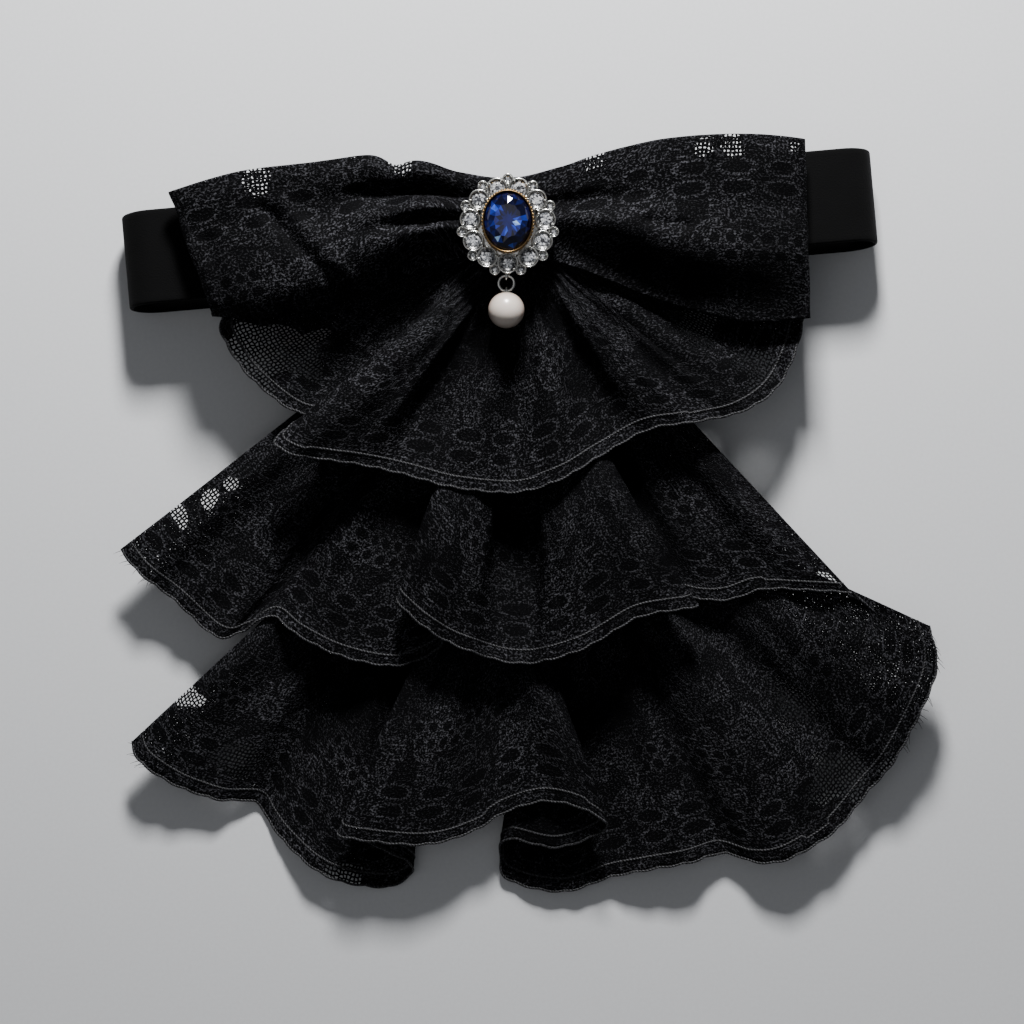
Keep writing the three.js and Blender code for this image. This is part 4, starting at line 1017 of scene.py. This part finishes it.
def bow_surface(columns, steps):
    """The bow's loop: front sections from left to right, then back ones from right to left, closed. Each
    section runs straight from its top edge to its bottom edge, raised by the folds that fan from the pinch:
    smooth curves through the table's rows along the bow, and through each row's heights across it."""
    table = table_columns(BOW_SECTIONS, BOW_COLUMNS)
    loop = {name: np.concatenate([table[name], table[name][::-1]]) for name in BOW_COLUMNS[:4]}
    loop["rise"] = np.concatenate([table["front"], table["back"][::-1]])
    count = 2 * len(BOW_SECTIONS)
    position = np.arange(columns) * count / columns
    at = {name: column_at(values, position, closed=True) for name, values in loop.items()}
    top = np.stack([BOW_HALF_LENGTH * at["top_out"], BOW_HALF_WIDTH * at["top_up"]], axis=-1)
    bottom = np.stack([BOW_HALF_LENGTH * at["bottom_out"], BOW_HALF_WIDTH * at["bottom_up"]], axis=-1)
    across = np.linspace(0, 1, steps)
    top_edge = np.clip(1 - across / 0.3, 0, 1)[None]
    flat = top[:, None] + (bottom - top)[:, None] * across[None, :, None]
    notch = np.exp(-(((flat[..., 0] - BOW_NOTCH[0]) / BOW_NOTCH[1]) ** 2)) * top_edge
    flat[..., 1] = flat[..., 1] - BOW_NOTCH[2] * notch
    front = np.clip((at["rise"] - 0.75) / 0.06, 0, 1)[:, None]
    folds = np.array(BOW_FOLDS)
    beside = np.interp(flat[:, steps // 2, 0], folds[:, 0], np.arange(len(folds)))
    heights = column_at(folds[:, 1:], beside)
    fold = column_at(heights.T, across * (heights.shape[1] - 1)).T
    rise = BOW_HEIGHT * at["rise"][:, None] - front * BOW_NOTCH[3] * notch
    rise = rise + fold * (BOW_BACK_PLEAT_SHARE + (1 - BOW_BACK_PLEAT_SHARE) * front)
    for x1, y1, x2, y2, depth, width in BOW_CREASES:
        line = np.array((x2 - x1, y2 - y1), float)
        length = np.linalg.norm(line)
        line /= length
        away = flat - np.array((x1, y1))
        along = np.clip(away @ line, 0, length)
        off = np.linalg.norm(away - along[..., None] * line, axis=-1)
        rise = rise - front * depth * np.exp(-((off / width) ** 2))
    points = np.concatenate([flat, rise[..., None]], axis=-1)
    run = lengths_along(points[:, steps // 2], 0)
    width = lengths_along(points, 1)
    normal = surface_normals(points)
    crumple = smooth_noise(run[:, None] / 16 + 2, width / 7 + 9, 41)
    crumple = crumple + 0.5 * smooth_noise(run[:, None] / 6, width / 5, 42)
    points = points + normal * (BOW_CRUMPLE * crumple)[..., None]
    uv = np.stack([np.broadcast_to(run[:, None], width.shape), width], axis=-1)
    return points, uv


def band_point(along, across, rise):
    """Points on the tilted neckband from the place along it, across it and above the floor."""
    up = across - BAND_BACK_SLIP * (1 - rise / BAND_HEIGHT)
    x = along * np.cos(BAND_TILT) - up * np.sin(BAND_TILT)
    y = along * np.sin(BAND_TILT) + up * np.cos(BAND_TILT) + BAND_UP
    return np.stack(np.broadcast_arrays(x, y, rise), axis=-1)


def band_path():
    """The neckband's middle line from the side: floor, left fold, front, right fold, floor and the lap on
    its own end, as arrays of place along the band and height."""
    low, high = BAND_WALL / 2, BAND_HEIGHT - BAND_WALL / 2
    bend, middle = (high - low) / 2, (high + low) / 2
    lap = low + BAND_WALL + FASTENER_THICKNESS + 2 * SEAT_GAP
    half = BAND_OVERLAP / 2
    left, right = BAND_LEFT + bend + low, BAND_RIGHT - bend - low
    turn = np.linspace(-np.pi / 2, np.pi / 2, 25)
    blend = np.linspace(0, 1, 13)
    ease = eased(blend)
    pieces = [
        (np.linspace(half, left, 60), np.full(60, low)),
        (left - bend * np.cos(turn), middle + bend * np.sin(turn)),
        (np.linspace(left, right, 110), np.full(110, high)),
        (right + bend * np.cos(turn), middle - bend * np.sin(turn)),
        (np.linspace(right, half + BAND_OVERLAP_RISE, 50), np.full(50, low)),
        (half + BAND_OVERLAP_RISE * (1 - blend), low + (lap - low) * ease),
        (np.linspace(half, -half, 16), np.full(16, lap)),
    ]
    along = np.concatenate([piece[0][(1 if i else 0):] for i, piece in enumerate(pieces)])
    rise = np.concatenate([piece[1][(1 if i else 0):] for i, piece in enumerate(pieces)])
    return along, rise


def strip_from_section(path_points, normals, thickness, width, side_axis, rounding=7):
    """A strip whose cross-section is a flat bar with round edges, carried along a path. path_points are the
    section's centres, side_axis the direction across the strip."""
    radius = thickness / 2
    arc = np.linspace(-np.pi / 2, np.pi / 2, rounding)
    flat_steps = np.linspace(-1, 1, 25)[1:-1]
    half = width / 2 - radius
    face = np.full(len(flat_steps), radius)
    end_out, end_up = half + radius * np.cos(arc), radius * np.sin(arc)
    u = np.concatenate([end_out, -flat_steps * half, -end_out, flat_steps * half])
    w = np.concatenate([end_up, face, -end_up, -face])
    return path_points[:, None] + u[None, :, None] * side_axis + w[None, :, None] * normals[:, None]


# ---------------------------------------------------------------- brooch and drop

def lathe(profile, sides, centre=(0, 0, 0), stretch=(1, 1), closed=True):
    """A profile of (reach, height) pairs turned round the vertical axis, as a closed ring or, where its two
    ends are on the axis, a closed body."""
    profile = np.asarray(profile, float)
    angle = 2 * np.pi * np.arange(sides) / sides
    x = profile[:, None, 0] * np.cos(angle)[None] * stretch[0]
    y = profile[:, None, 0] * np.sin(angle)[None] * stretch[1]
    z = np.broadcast_to(profile[:, None, 1], x.shape)
    points = np.stack([x, y, z], axis=-1) + np.asarray(centre, float)
    faces = grid_faces(len(profile), sides, closed_rows=closed, closed_columns=True)
    return points, faces[:, ::-1]


def end_faces(rings, sides):
    """The two faces that close a stack of rings: the first ring, turned over, and the last."""
    last = (rings - 1) * sides
    return [list(range(sides - 1, -1, -1)), list(range(last, last + sides))]


def ball(radius, centre, rings=16, sides=24):
    """A sphere as a lathe, its poles small closed circles."""
    angle = np.linspace(-np.pi / 2, np.pi / 2, rings)
    angle[0] += 1e-3
    angle[-1] -= 1e-3
    profile = np.stack([radius * np.cos(angle), radius * np.sin(angle)], axis=-1)
    points, faces = lathe(profile, sides, centre, closed=False)
    return points, faces.tolist() + end_faces(rings, sides)


def torus(radius, wire, centre, normal_axis, rings=40, sides=12):
    """A ring of round wire: a circle carried round a circle."""
    angle = 2 * np.pi * np.arange(rings) / rings
    tube = 2 * np.pi * np.arange(sides) / sides
    out = radius + wire / 2 * np.cos(tube)[None]
    flat = np.stack(
        [out * np.cos(angle)[:, None], out * np.sin(angle)[:, None],
         np.broadcast_to(wire / 2 * np.sin(tube)[None], (rings, sides))],
        axis=-1,
    )
    order = {"z": (0, 1, 2), "x": (2, 0, 1)}[normal_axis]
    points = flat[..., order] + np.asarray(centre, float)
    return points, grid_faces(rings, sides, closed_rows=True, closed_columns=True)


def ring_place(radius, number, half_step):
    """Place and angle of a stone in a ring round the brooch, the first straight below its centre."""
    angle = -np.pi / 2 + 2 * np.pi * (number + half_step) / RING_STONES
    return radius * np.cos(angle), BROOCH_UP + radius * np.sin(angle), angle


def oval_ring(out, rise, sides):
    """Rings of points round the centre stone, each at its own distance out from the stone's edge and its
    own height."""
    angle = 2 * np.pi * np.arange(sides) / sides
    x = (CENTRE_STONE[0] / 2 + out)[:, None] * np.cos(angle)
    y = (CENTRE_STONE[1] / 2 + out)[:, None] * np.sin(angle) + CENTRE_UP
    return np.stack([x, y, np.broadcast_to(rise[:, None], x.shape)], axis=-1)


# A cut stone's rings from its point to its table: reach of the even and odd corners, rise of both, shares.
BRILLIANT_RINGS = (
    (0.04, 0.04, 0.0, 0.0),
    (0.55, 0.50, 0.30, 0.32),
    (1.0, 0.99, 0.57, 0.57),
    (1.0, 0.99, 0.66, 0.66),
    (0.80, 0.84, 0.86, 0.80),
    (0.60, 0.555, 1.0, 1.0),
    (0.22, 0.34, 1.0, 1.0),
)
OVAL_RINGS = (
    (0.08, 0.08, 0.0, 0.0),
    (0.60, 0.56, 0.26, 0.28),
    (1.0, 0.985, 0.56, 0.56),
    (1.0, 0.985, 0.62, 0.62),
    (0.85, 0.80, 0.82, 0.86),
    (0.60, 0.56, 1.0, 1.0),
    (0.36, 0.20, 1.0, 1.0),
)


# Painted flashes of light in the centre stone: place and reach as shares of its half width, and tone.
PAINTED_STONE_FLASHES = (
    (-0.5, 0.5, 0.26, 0.55), (-0.6, -0.15, 0.42, 0.3), (0.3, -0.12, 0.3, 0.62),
    (0.75, 0.1, 0.25, 0.25), (-0.05, -0.45, 0.2, 0.35), (-0.42, -0.85, 0.16, 0.85),
    (0.15, -1.05, 0.16, 0.6), (0.15, 0.5, 0.34, -0.12), (0.2, -0.72, 0.2, -0.3),
)


def cut_stone(size, rings, sides, turn=0.0):
    """A faceted stone: rings of corners whose even and odd reach differ, so that triangles between the rings
    make kites and stars, closed by a small flat table and a small flat point. The table is in two rings, so
    that it has facets of its own, whose painted tones stand for the facets below it showing through."""
    rings = np.array(rings)
    angle = 2 * np.pi * np.arange(sides) / sides
    odd = np.arange(sides) % 2
    reach = np.where(odd[None], rings[:, 1:2], rings[:, 0:1])
    rise = np.where(odd[None], rings[:, 3:4], rings[:, 2:3])
    x = size[0] / 2 * reach * np.cos(angle)
    y = size[1] / 2 * reach * np.sin(angle)
    across = x * np.cos(turn) - y * np.sin(turn)
    up = x * np.sin(turn) + y * np.cos(turn)
    points = np.stack([across, up, size[2] * rise], axis=-1)
    quads = grid_faces(len(rings), sides, closed_columns=True)[:, ::-1]
    even = (quads[:, 3] % sides) % 2 == 0
    first = np.where(even[:, None], quads[:, [0, 1, 2]], quads[:, [1, 2, 3]])
    second = np.where(even[:, None], quads[:, [0, 2, 3]], quads[:, [1, 3, 0]])
    return points, np.concatenate([first, second]).tolist() + end_faces(len(rings), sides)


def cup_profile(outer, bore, base, height, floor):
    """A cup bezel: outside up to a rounded lip, down its bore to its floor, closed to a small hole."""
    lip = (outer - bore) / 4
    return (
        (0.02, base), (outer / 2 - 0.25, base), (outer / 2, base + 0.25), (outer / 2, height - lip),
        (outer / 2 - 0.3 * lip, height - 0.3 * lip), (outer / 2 - lip, height),
        (bore / 2 + 0.3 * lip, height - 0.3 * lip), (bore / 2, height - lip), (bore / 2, floor),
        (0.02, floor),
    )


# ---------------------------------------------------------------- properties

class JabotSizes(bpy.types.PropertyGroup):
    """Sizes of the cloth's finish."""

    cord_radius: bpy.props.FloatProperty(
        name="Hem cord radius", description="Half the thickness of the cords along the hems",
        default=CORD_RADIUS * MM, min=0.0001, max=0.001, subtype="DISTANCE", unit="LENGTH",
    )
    paper_size: bpy.props.FloatProperty(
        name="Floor size", description="Side of the studio floor",
        default=4.0, min=1.0, max=10.0, subtype="DISTANCE", unit="LENGTH",
    )


class JabotColours(bpy.types.PropertyGroup):
    """Colours of the lace."""

    lace_base: bpy.props.FloatVectorProperty(
        name="Lace, deep", description="Colour between the threads",
        default=hex_linear("#030304"), size=4, min=0, max=1, subtype="COLOR",
    )
    # Painted highlights: the colour of the grey specks that stand for light caught on the threads.
    lace_painted_glint_colour: bpy.props.FloatVectorProperty(
        name="Lace, threads", description="Colour of the specks on the threads",
        default=hex_linear("#404044"), size=4, min=0, max=1, subtype="COLOR",
    )


# ---------------------------------------------------------------- operators

def place_piece(obj, nodes):
    """Rides the piece on the one body and lets it stand for its nodes."""
    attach(obj, BODY)
    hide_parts(*nodes)
    return obj


def lace_strand(name, points, faces, material, uv):
    """A cord or loose thread that only the scene has, riding with the lace."""
    strand = mesh_object(name, points, faces, material, uv)
    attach(strand, BODY)
    return strand


def shared_material(name, maker):
    """A material made once and used by several pieces."""
    return bpy.data.materials.get(name) or maker()


def shared_lace(colours):
    """The lace of every tier and of the bow."""
    name = "machine_lace_cotton_nylon"
    return shared_material(name, lambda: lace_material(name, colours.lace_base, colours.lace_painted_glint_colour))


class JABOT_OT_neckband(bpy.types.Operator):
    """Velvet neckband, its fastener pad and the placket tape"""

    bl_idname = "jabot.neckband"
    bl_label = "Neckband"

    def execute(self, context):
        along, rise = band_path()
        centre = band_point(along, np.zeros_like(along), rise)
        other = band_point(along, np.ones_like(along), rise)
        side_axis = (other - centre)[0]
        tangent = np.gradient(centre, axis=0)
        normal = np.cross(tangent, side_axis)
        normal /= np.linalg.norm(normal, axis=-1, keepdims=True)
        section = strip_from_section(centre, normal, BAND_WALL, BAND_WIDTH, side_axis)
        faces = capped_faces(*section.shape[:2])
        band = mesh_object("neckband_velvet", section, faces, velvet_material())
        place_piece(band, ["neckband"])

        along = np.linspace(-FASTENER_LENGTH / 2, FASTENER_LENGTH / 2, 24)
        height = BAND_WALL + SEAT_GAP + FASTENER_THICKNESS / 2
        centre = band_point(along, np.zeros_like(along), np.full_like(along, height))
        up = np.broadcast_to((0.0, 0.0, 1.0), centre.shape)
        section = strip_from_section(centre, up, FASTENER_THICKNESS, FASTENER_WIDTH, side_axis)
        hooks = tape_material("nylon_hook_tape_woven", "#060607", "#232326", 0.9)
        pad = mesh_object("neckband_fastener_pad", section, capped_faces(*section.shape[:2]), hooks)
        place_piece(pad, ["neckband_fastener"])

        count = len(PLACKET_BENDS)
        bends = np.linspace(0, count - 1, 90)
        down, up = (np.interp(bends, np.arange(count), shares) for shares in PLACKET_BENDS.T)
        y, z = PLACKET_TOP - PLACKET_LENGTH * down, PLACKET_HEIGHT * up
        centre = np.stack([np.zeros_like(y), y, z], axis=-1)
        sideways = np.array((1.0, 0.0, 0.0))
        normal = np.cross(sideways, np.gradient(centre, axis=0))
        normal /= np.linalg.norm(normal, axis=-1, keepdims=True)
        section = strip_from_section(centre, normal, CLOTH_WALL, PLACKET_WIDTH, sideways)
        tape = tape_material("polyester_tape_woven", "#050506", "#2a2a2e", 0.8)
        placket = mesh_object("placket_tape", section, capped_faces(*section.shape[:2]), tape)
        place_piece(placket, ["placket"])
        return {"FINISHED"}


class JABOT_OT_ruffles(bpy.types.Operator):
    """Three gathered lace tiers with corded hems"""

    bl_idname = "jabot.ruffles"
    bl_label = "Ruffles"

    def execute(self, context):
        sizes, colours = context.scene.jabot_sizes, context.scene.jabot_colours
        lace = shared_lace(colours)
        cord = cord_material(colours.lace_painted_glint_colour)
        tiers = (("lower", LOWER, LOWER_RIBS), ("middle", MIDDLE, MIDDLE_RIBS), ("upper", UPPER, UPPER_RIBS))
        for name, size, ribs in tiers:
            look = TIER_LOOKS[name]
            points, uv = ruffle_surface(size, ribs, TIER_GRIDS[name], TIER_FOLDS[name], look)
            ruffle = cloth_object(f"{name}_ruffle_lace", points, uv, lace, LACE_PLACES[name])
            place_piece(ruffle, [f"{name}_ruffle"])
            joined, faces, coords = hem_cords(points, uv, sizes.cord_radius / MM)
            pieces = [lace_strand(f"{name}_hem_cords", joined, faces, cord, coords)]
            for part, (columns, count, lengths, lean, radius) in LOOSE_THREADS.get(name, {}).items():
                first, last = (int(share * (len(points) - 1)) for share in columns)
                joined, faces, coords = loose_threads(
                    points[first:last + 1, -1], count, lengths, lean, radius, look["seed"] + 5
                )
                pieces.append(lace_strand(f"{name}_{part}", joined, faces, cord, coords))
        return {"FINISHED"}


class JABOT_OT_bow(bpy.types.Operator):
    """Lace bow: a flattened loop pinched at its middle"""

    bl_idname = "jabot.bow"
    bl_label = "Bow"

    def execute(self, context):
        points, uv = bow_surface(BOW_LOOP_COLUMNS, BOW_ROWS)
        lace = shared_lace(context.scene.jabot_colours)
        bow = cloth_object("bow_lace", points, uv, lace, LACE_PLACES["bow"], closed=True)
        place_piece(bow, ["bow"])
        return {"FINISHED"}


class JABOT_OT_brooch(bpy.types.Operator):
    """Cast silver setting and the beaded gold bezel of the centre stone"""

    bl_idname = "jabot.brooch"
    bl_label = "Brooch setting"

    def execute(self, context):
        silver = metal_material("rhodium_plate_polished", "#e4e3e0", "#bdbcb8", 0.12, 1.4)
        gold = metal_material("gold_plate_polished", "#a0845c", "#6f5536", 0.2, 1.1)
        plate_top = PLATE_BOTTOM + PLATE_THICKNESS
        centre = (0, BROOCH_UP, 0)
        edge, corner, axis = PLATE_RADIUS, 0.3, 0.02
        plate = (
            (axis, PLATE_BOTTOM), (edge - corner, PLATE_BOTTOM), (edge, PLATE_BOTTOM + corner),
            (edge, plate_top - corner), (edge - corner, plate_top), (axis, plate_top),
        )
        parts = [lathe(plate, 96, centre)]
        base = plate_top - PLATE_THICKNESS / 2
        for number in range(RING_STONES):
            for ring in STONE_RINGS:
                x, y, angle = ring_place(ring["radius"], number, ring["turn"])
                (width, height), across = ring["cup"], ring["stone"][0]
                profile = cup_profile(width, across + CUP_ROOM, base, plate_top + height, base + CUP_FLOOR)
                parts.append(lathe(profile, ring["sides"], (x, y, 0)))
                reach = across / 2 + CLAW_OFFSET
                for claw in range(CLAWS):
                    turn = angle + np.pi / 4 + claw * np.pi / 2
                    out, up = x + reach * np.cos(turn), y + reach * np.sin(turn)
                    parts.append(ball(ring["claw"], (out, up, plate_top + height - CLAW_OFFSET), 9, 12))
            x, y, angle = ring_place(JUNCTION_RADIUS, number, 0.5)
            bead_up = plate_top + STONE_RINGS[0]["cup"][1] - JUNCTION_BEAD
            parts.append(ball(JUNCTION_BEAD, (x, y, bead_up), 9, 14))
        parts.append(torus(LOOP["radius"], LOOP["wire"], (DROP_OUT, LOOP["up"], LINK_RISE), "x"))
        points, faces = join_parts(parts)
        setting = mesh_object("brooch_setting_cast", points, faces, silver)
        place_piece(setting, ["brooch_setting"])

        rise = plate_top + SEAT_GAP
        out, up = np.array(CENTRE_BEZEL_WALL).T
        wall = oval_ring(out, rise + CENTRE_BEZEL_HEIGHT * up, 96)
        parts = [(wall, grid_faces(*wall.shape[:2], closed_rows=True, closed_columns=True)[:, ::-1])]
        beads = CENTRE_BEZEL_BEADS
        up = rise + CENTRE_BEZEL_HEIGHT * beads["up"]
        for place in oval_ring(np.array([beads["out"]]), np.array([up]), beads["count"])[0]:
            parts.append(ball(beads["radius"], place, 7, 10))
        points, faces = join_parts(parts)
        bezel = mesh_object("centre_bezel_beaded", points, faces, gold)
        place_piece(bezel, ["centre_bezel"])
        return {"FINISHED"}


class JABOT_OT_stones(bpy.types.Operator):
    """Blue centre stone and two rings of clear cut stones"""

    bl_idname = "jabot.stones"
    bl_label = "Stones"

    def execute(self, context):
        clear = faceted_material("lead_crystal_cut", CRYSTAL_REFLECTION_STEPS, 0.55, 1.6, (0.5, 1.4))
        blue = faceted_material("blue_glass_cut", BLUE_REFLECTION_STEPS, 0.45, 1.55, (1.5, 0.2))
        chance = np.random.default_rng(5)
        plate_top = PLATE_BOTTOM + PLATE_THICKNESS
        points, faces = cut_stone(CENTRE_STONE, OVAL_RINGS, 24)
        corners = points.reshape(-1, 3)
        middles = np.array([corners[face].mean(axis=0) for face in faces]) / CENTRE_STONE[0] * 2
        # Painted reflections: a random tone for each facet, with the flashes of the centre stone added.
        reflection_tones = 0.22 + 0.2 * chance.uniform(-1, 1, len(faces))
        for x, y, reach, tone in PAINTED_STONE_FLASHES:
            reflection_tones += tone * np.exp(-((middles[:, 0] - x) ** 2 + (middles[:, 1] - y) ** 2) / reach**2)
        points = points + np.array((0, CENTRE_UP, plate_top + SEAT_GAP + CENTRE_STONE_SEAT))
        stone = mesh_object("centre_stone_cut", points, faces, blue, smooth=False)
        paint_facet_reflections(stone, np.clip(reflection_tones, 0, 1))
        place_piece(stone, ["centre_stone"])
        floor = plate_top - PLATE_THICKNESS / 2 + CUP_FLOOR + SEAT_GAP
        for number in range(RING_STONES):
            for ring in STONE_RINGS:
                x, y, angle = ring_place(ring["radius"], number, ring["turn"])
                points, faces = cut_stone(ring["stone"], BRILLIANT_RINGS, 16, angle)
                points = points + np.array((x, y, floor))
                label = f"{ring['kind']}_stone_{number + 1:02d}"
                stone = mesh_object(f"{label}_cut", points, faces, clear, smooth=False)
                # Painted reflections: a random tone for each facet.
                paint_facet_reflections(stone, chance.uniform(0, 1, len(faces)))
                place_piece(stone, [label])
        return {"FINISHED"}


class JABOT_OT_drop(bpy.types.Operator):
    """Jump ring, pearl eye and pearl"""

    bl_idname = "jabot.drop"
    bl_label = "Pearl drop"

    def execute(self, context):
        silver = metal_material("rhodium_plate_wire", "#e6e5e2", "#c0bfbb", 0.12, 1.0)
        ring_up = LOOP["up"] - JUMP_RING["radius"]
        eye_up = ring_up - JUMP_RING["radius"]
        pearl_up = eye_up - EYE["radius"] - PEARL_DIAMETER / 2 + PEARL_SINK
        middle = (DROP_OUT, ring_up, LINK_RISE)
        points, faces = torus(JUMP_RING["radius"], JUMP_RING["wire"], middle, "z", 48, 14)
        ring = mesh_object("jump_ring_wire", points, faces, silver)
        place_piece(ring, ["jump_ring"])
        peg_top = eye_up - EYE["radius"]
        peg = np.linspace(peg_top, peg_top - PEG_LENGTH, 12)
        path = np.stack([np.full(12, DROP_OUT), peg, np.full(12, LINK_RISE)], axis=-1)
        across = np.broadcast_to((0.0, 0.0, 1.0), path.shape)
        parts = [
            torus(EYE["radius"], EYE["wire"], (DROP_OUT, eye_up, LINK_RISE), "x", 36, 12),
            (tube_rings(path, across, PEG_RADIUS, 16), capped_faces(12, 16)),
        ]
        points, faces = join_parts(parts)
        eye = mesh_object("pearl_eye_wire", points, faces, silver)
        place_piece(eye, ["pearl_eye"])
        points, faces = ball(PEARL_DIAMETER / 2, (DROP_OUT, pearl_up, LINK_RISE), 48, 72)
        pearl = mesh_object("pearl_round", points, faces, pearl_material())
        place_piece(pearl, ["pearl"])
        return {"FINISHED"}


CAMERA_PLACE = (1.3, -89.7, 1020)
CAMERA_LENS = 109.9
# The key lamp, from beyond the neckband, and a wide fill from above: place and side in mm, and watts. Both
# look at LAMP_AIM.
LAMPS = (("key", (20, 560, 390), 130, 15), ("fill", (-400, -300, 1600), 1400, 2.5))
LAMP_AIM = (0, -80, 0)
SKY = "#dfe3ea"
SKY_STRENGTH = 0.13


class JABOT_OT_stage(bpy.types.Operator):
    """Pale floor, studio light and the camera straight above"""

    bl_idname = "jabot.stage"
    bl_label = "Stage"

    def execute(self, context):
        scene = context.scene
        half = scene.jabot_sizes.paper_size / 2 / MM
        corners = np.array(((-half, -half, 0), (half, -half, 0), (half, half, 0), (-half, half, 0)))
        floor = mesh_object("studio_floor", corners, [[0, 1, 2, 3]], paper_material(), smooth=False)
        for name, place, side, watts in LAMPS:
            lamp = bpy.data.lights.new(name, "AREA")
            lamp.energy = watts
            lamp.size = side * MM
            holder = bpy.data.objects.new(name, lamp)
            scene.collection.objects.link(holder)
            place = np.array(place) * MM
            holder.location = place
            holder.rotation_mode = "QUATERNION"
            aim = Vector(np.array(LAMP_AIM) * MM - place)
            holder.rotation_quaternion = aim.to_track_quat("-Z", "Y")
        world = bpy.data.worlds.new("studio")
        world.use_nodes = True
        background = world.node_tree.nodes["Background"]
        background.inputs["Color"].default_value = hex_linear(SKY)
        background.inputs["Strength"].default_value = SKY_STRENGTH
        scene.world = world
        camera = bpy.data.cameras.new("camera")
        camera.lens = CAMERA_LENS
        camera.sensor_width = 36
        camera.clip_start = 0.05
        camera.clip_end = 20
        holder = bpy.data.objects.new("camera", camera)
        holder.location = [value * MM for value in CAMERA_PLACE]
        scene.collection.objects.link(holder)
        scene.camera = holder
        return {"FINISHED"}


class JABOT_PT_panel(bpy.types.Panel):
    """Sizes, colours and pieces of the jabot"""

    bl_idname = "JABOT_PT_panel"
    bl_label = "Jabot"
    bl_space_type = "VIEW_3D"
    bl_region_type = "UI"
    bl_category = "Jabot"

    def draw(self, context):
        scene = context.scene
        for group in (scene.jabot_sizes, scene.jabot_colours):
            for name in group.bl_rna.properties.keys():
                if name not in ("rna_type", "name"):
                    self.layout.prop(group, name)
        for operator in OPERATORS:
            self.layout.operator(operator.bl_idname)


OPERATORS = (
    JABOT_OT_neckband,
    JABOT_OT_ruffles,
    JABOT_OT_bow,
    JABOT_OT_brooch,
    JABOT_OT_stones,
    JABOT_OT_drop,
    JABOT_OT_stage,
)
CLASSES = (JabotSizes, JabotColours, *OPERATORS, JABOT_PT_panel)


def register():
    for cls in CLASSES:
        bpy.utils.register_class(cls)
    bpy.types.Scene.jabot_sizes = bpy.props.PointerProperty(type=JabotSizes)
    bpy.types.Scene.jabot_colours = bpy.props.PointerProperty(type=JabotColours)


def unregister():
    del bpy.types.Scene.jabot_sizes
    del bpy.types.Scene.jabot_colours
    for cls in reversed(CLASSES):
        bpy.utils.unregister_class(cls)


def main():
    register()
    bpy.ops.jabot.neckband()
    bpy.ops.jabot.ruffles()
    bpy.ops.jabot.bow()
    bpy.ops.jabot.brooch()
    bpy.ops.jabot.stones()
    bpy.ops.jabot.drop()
    bpy.ops.jabot.stage()


if __name__ == "__main__":
    main()
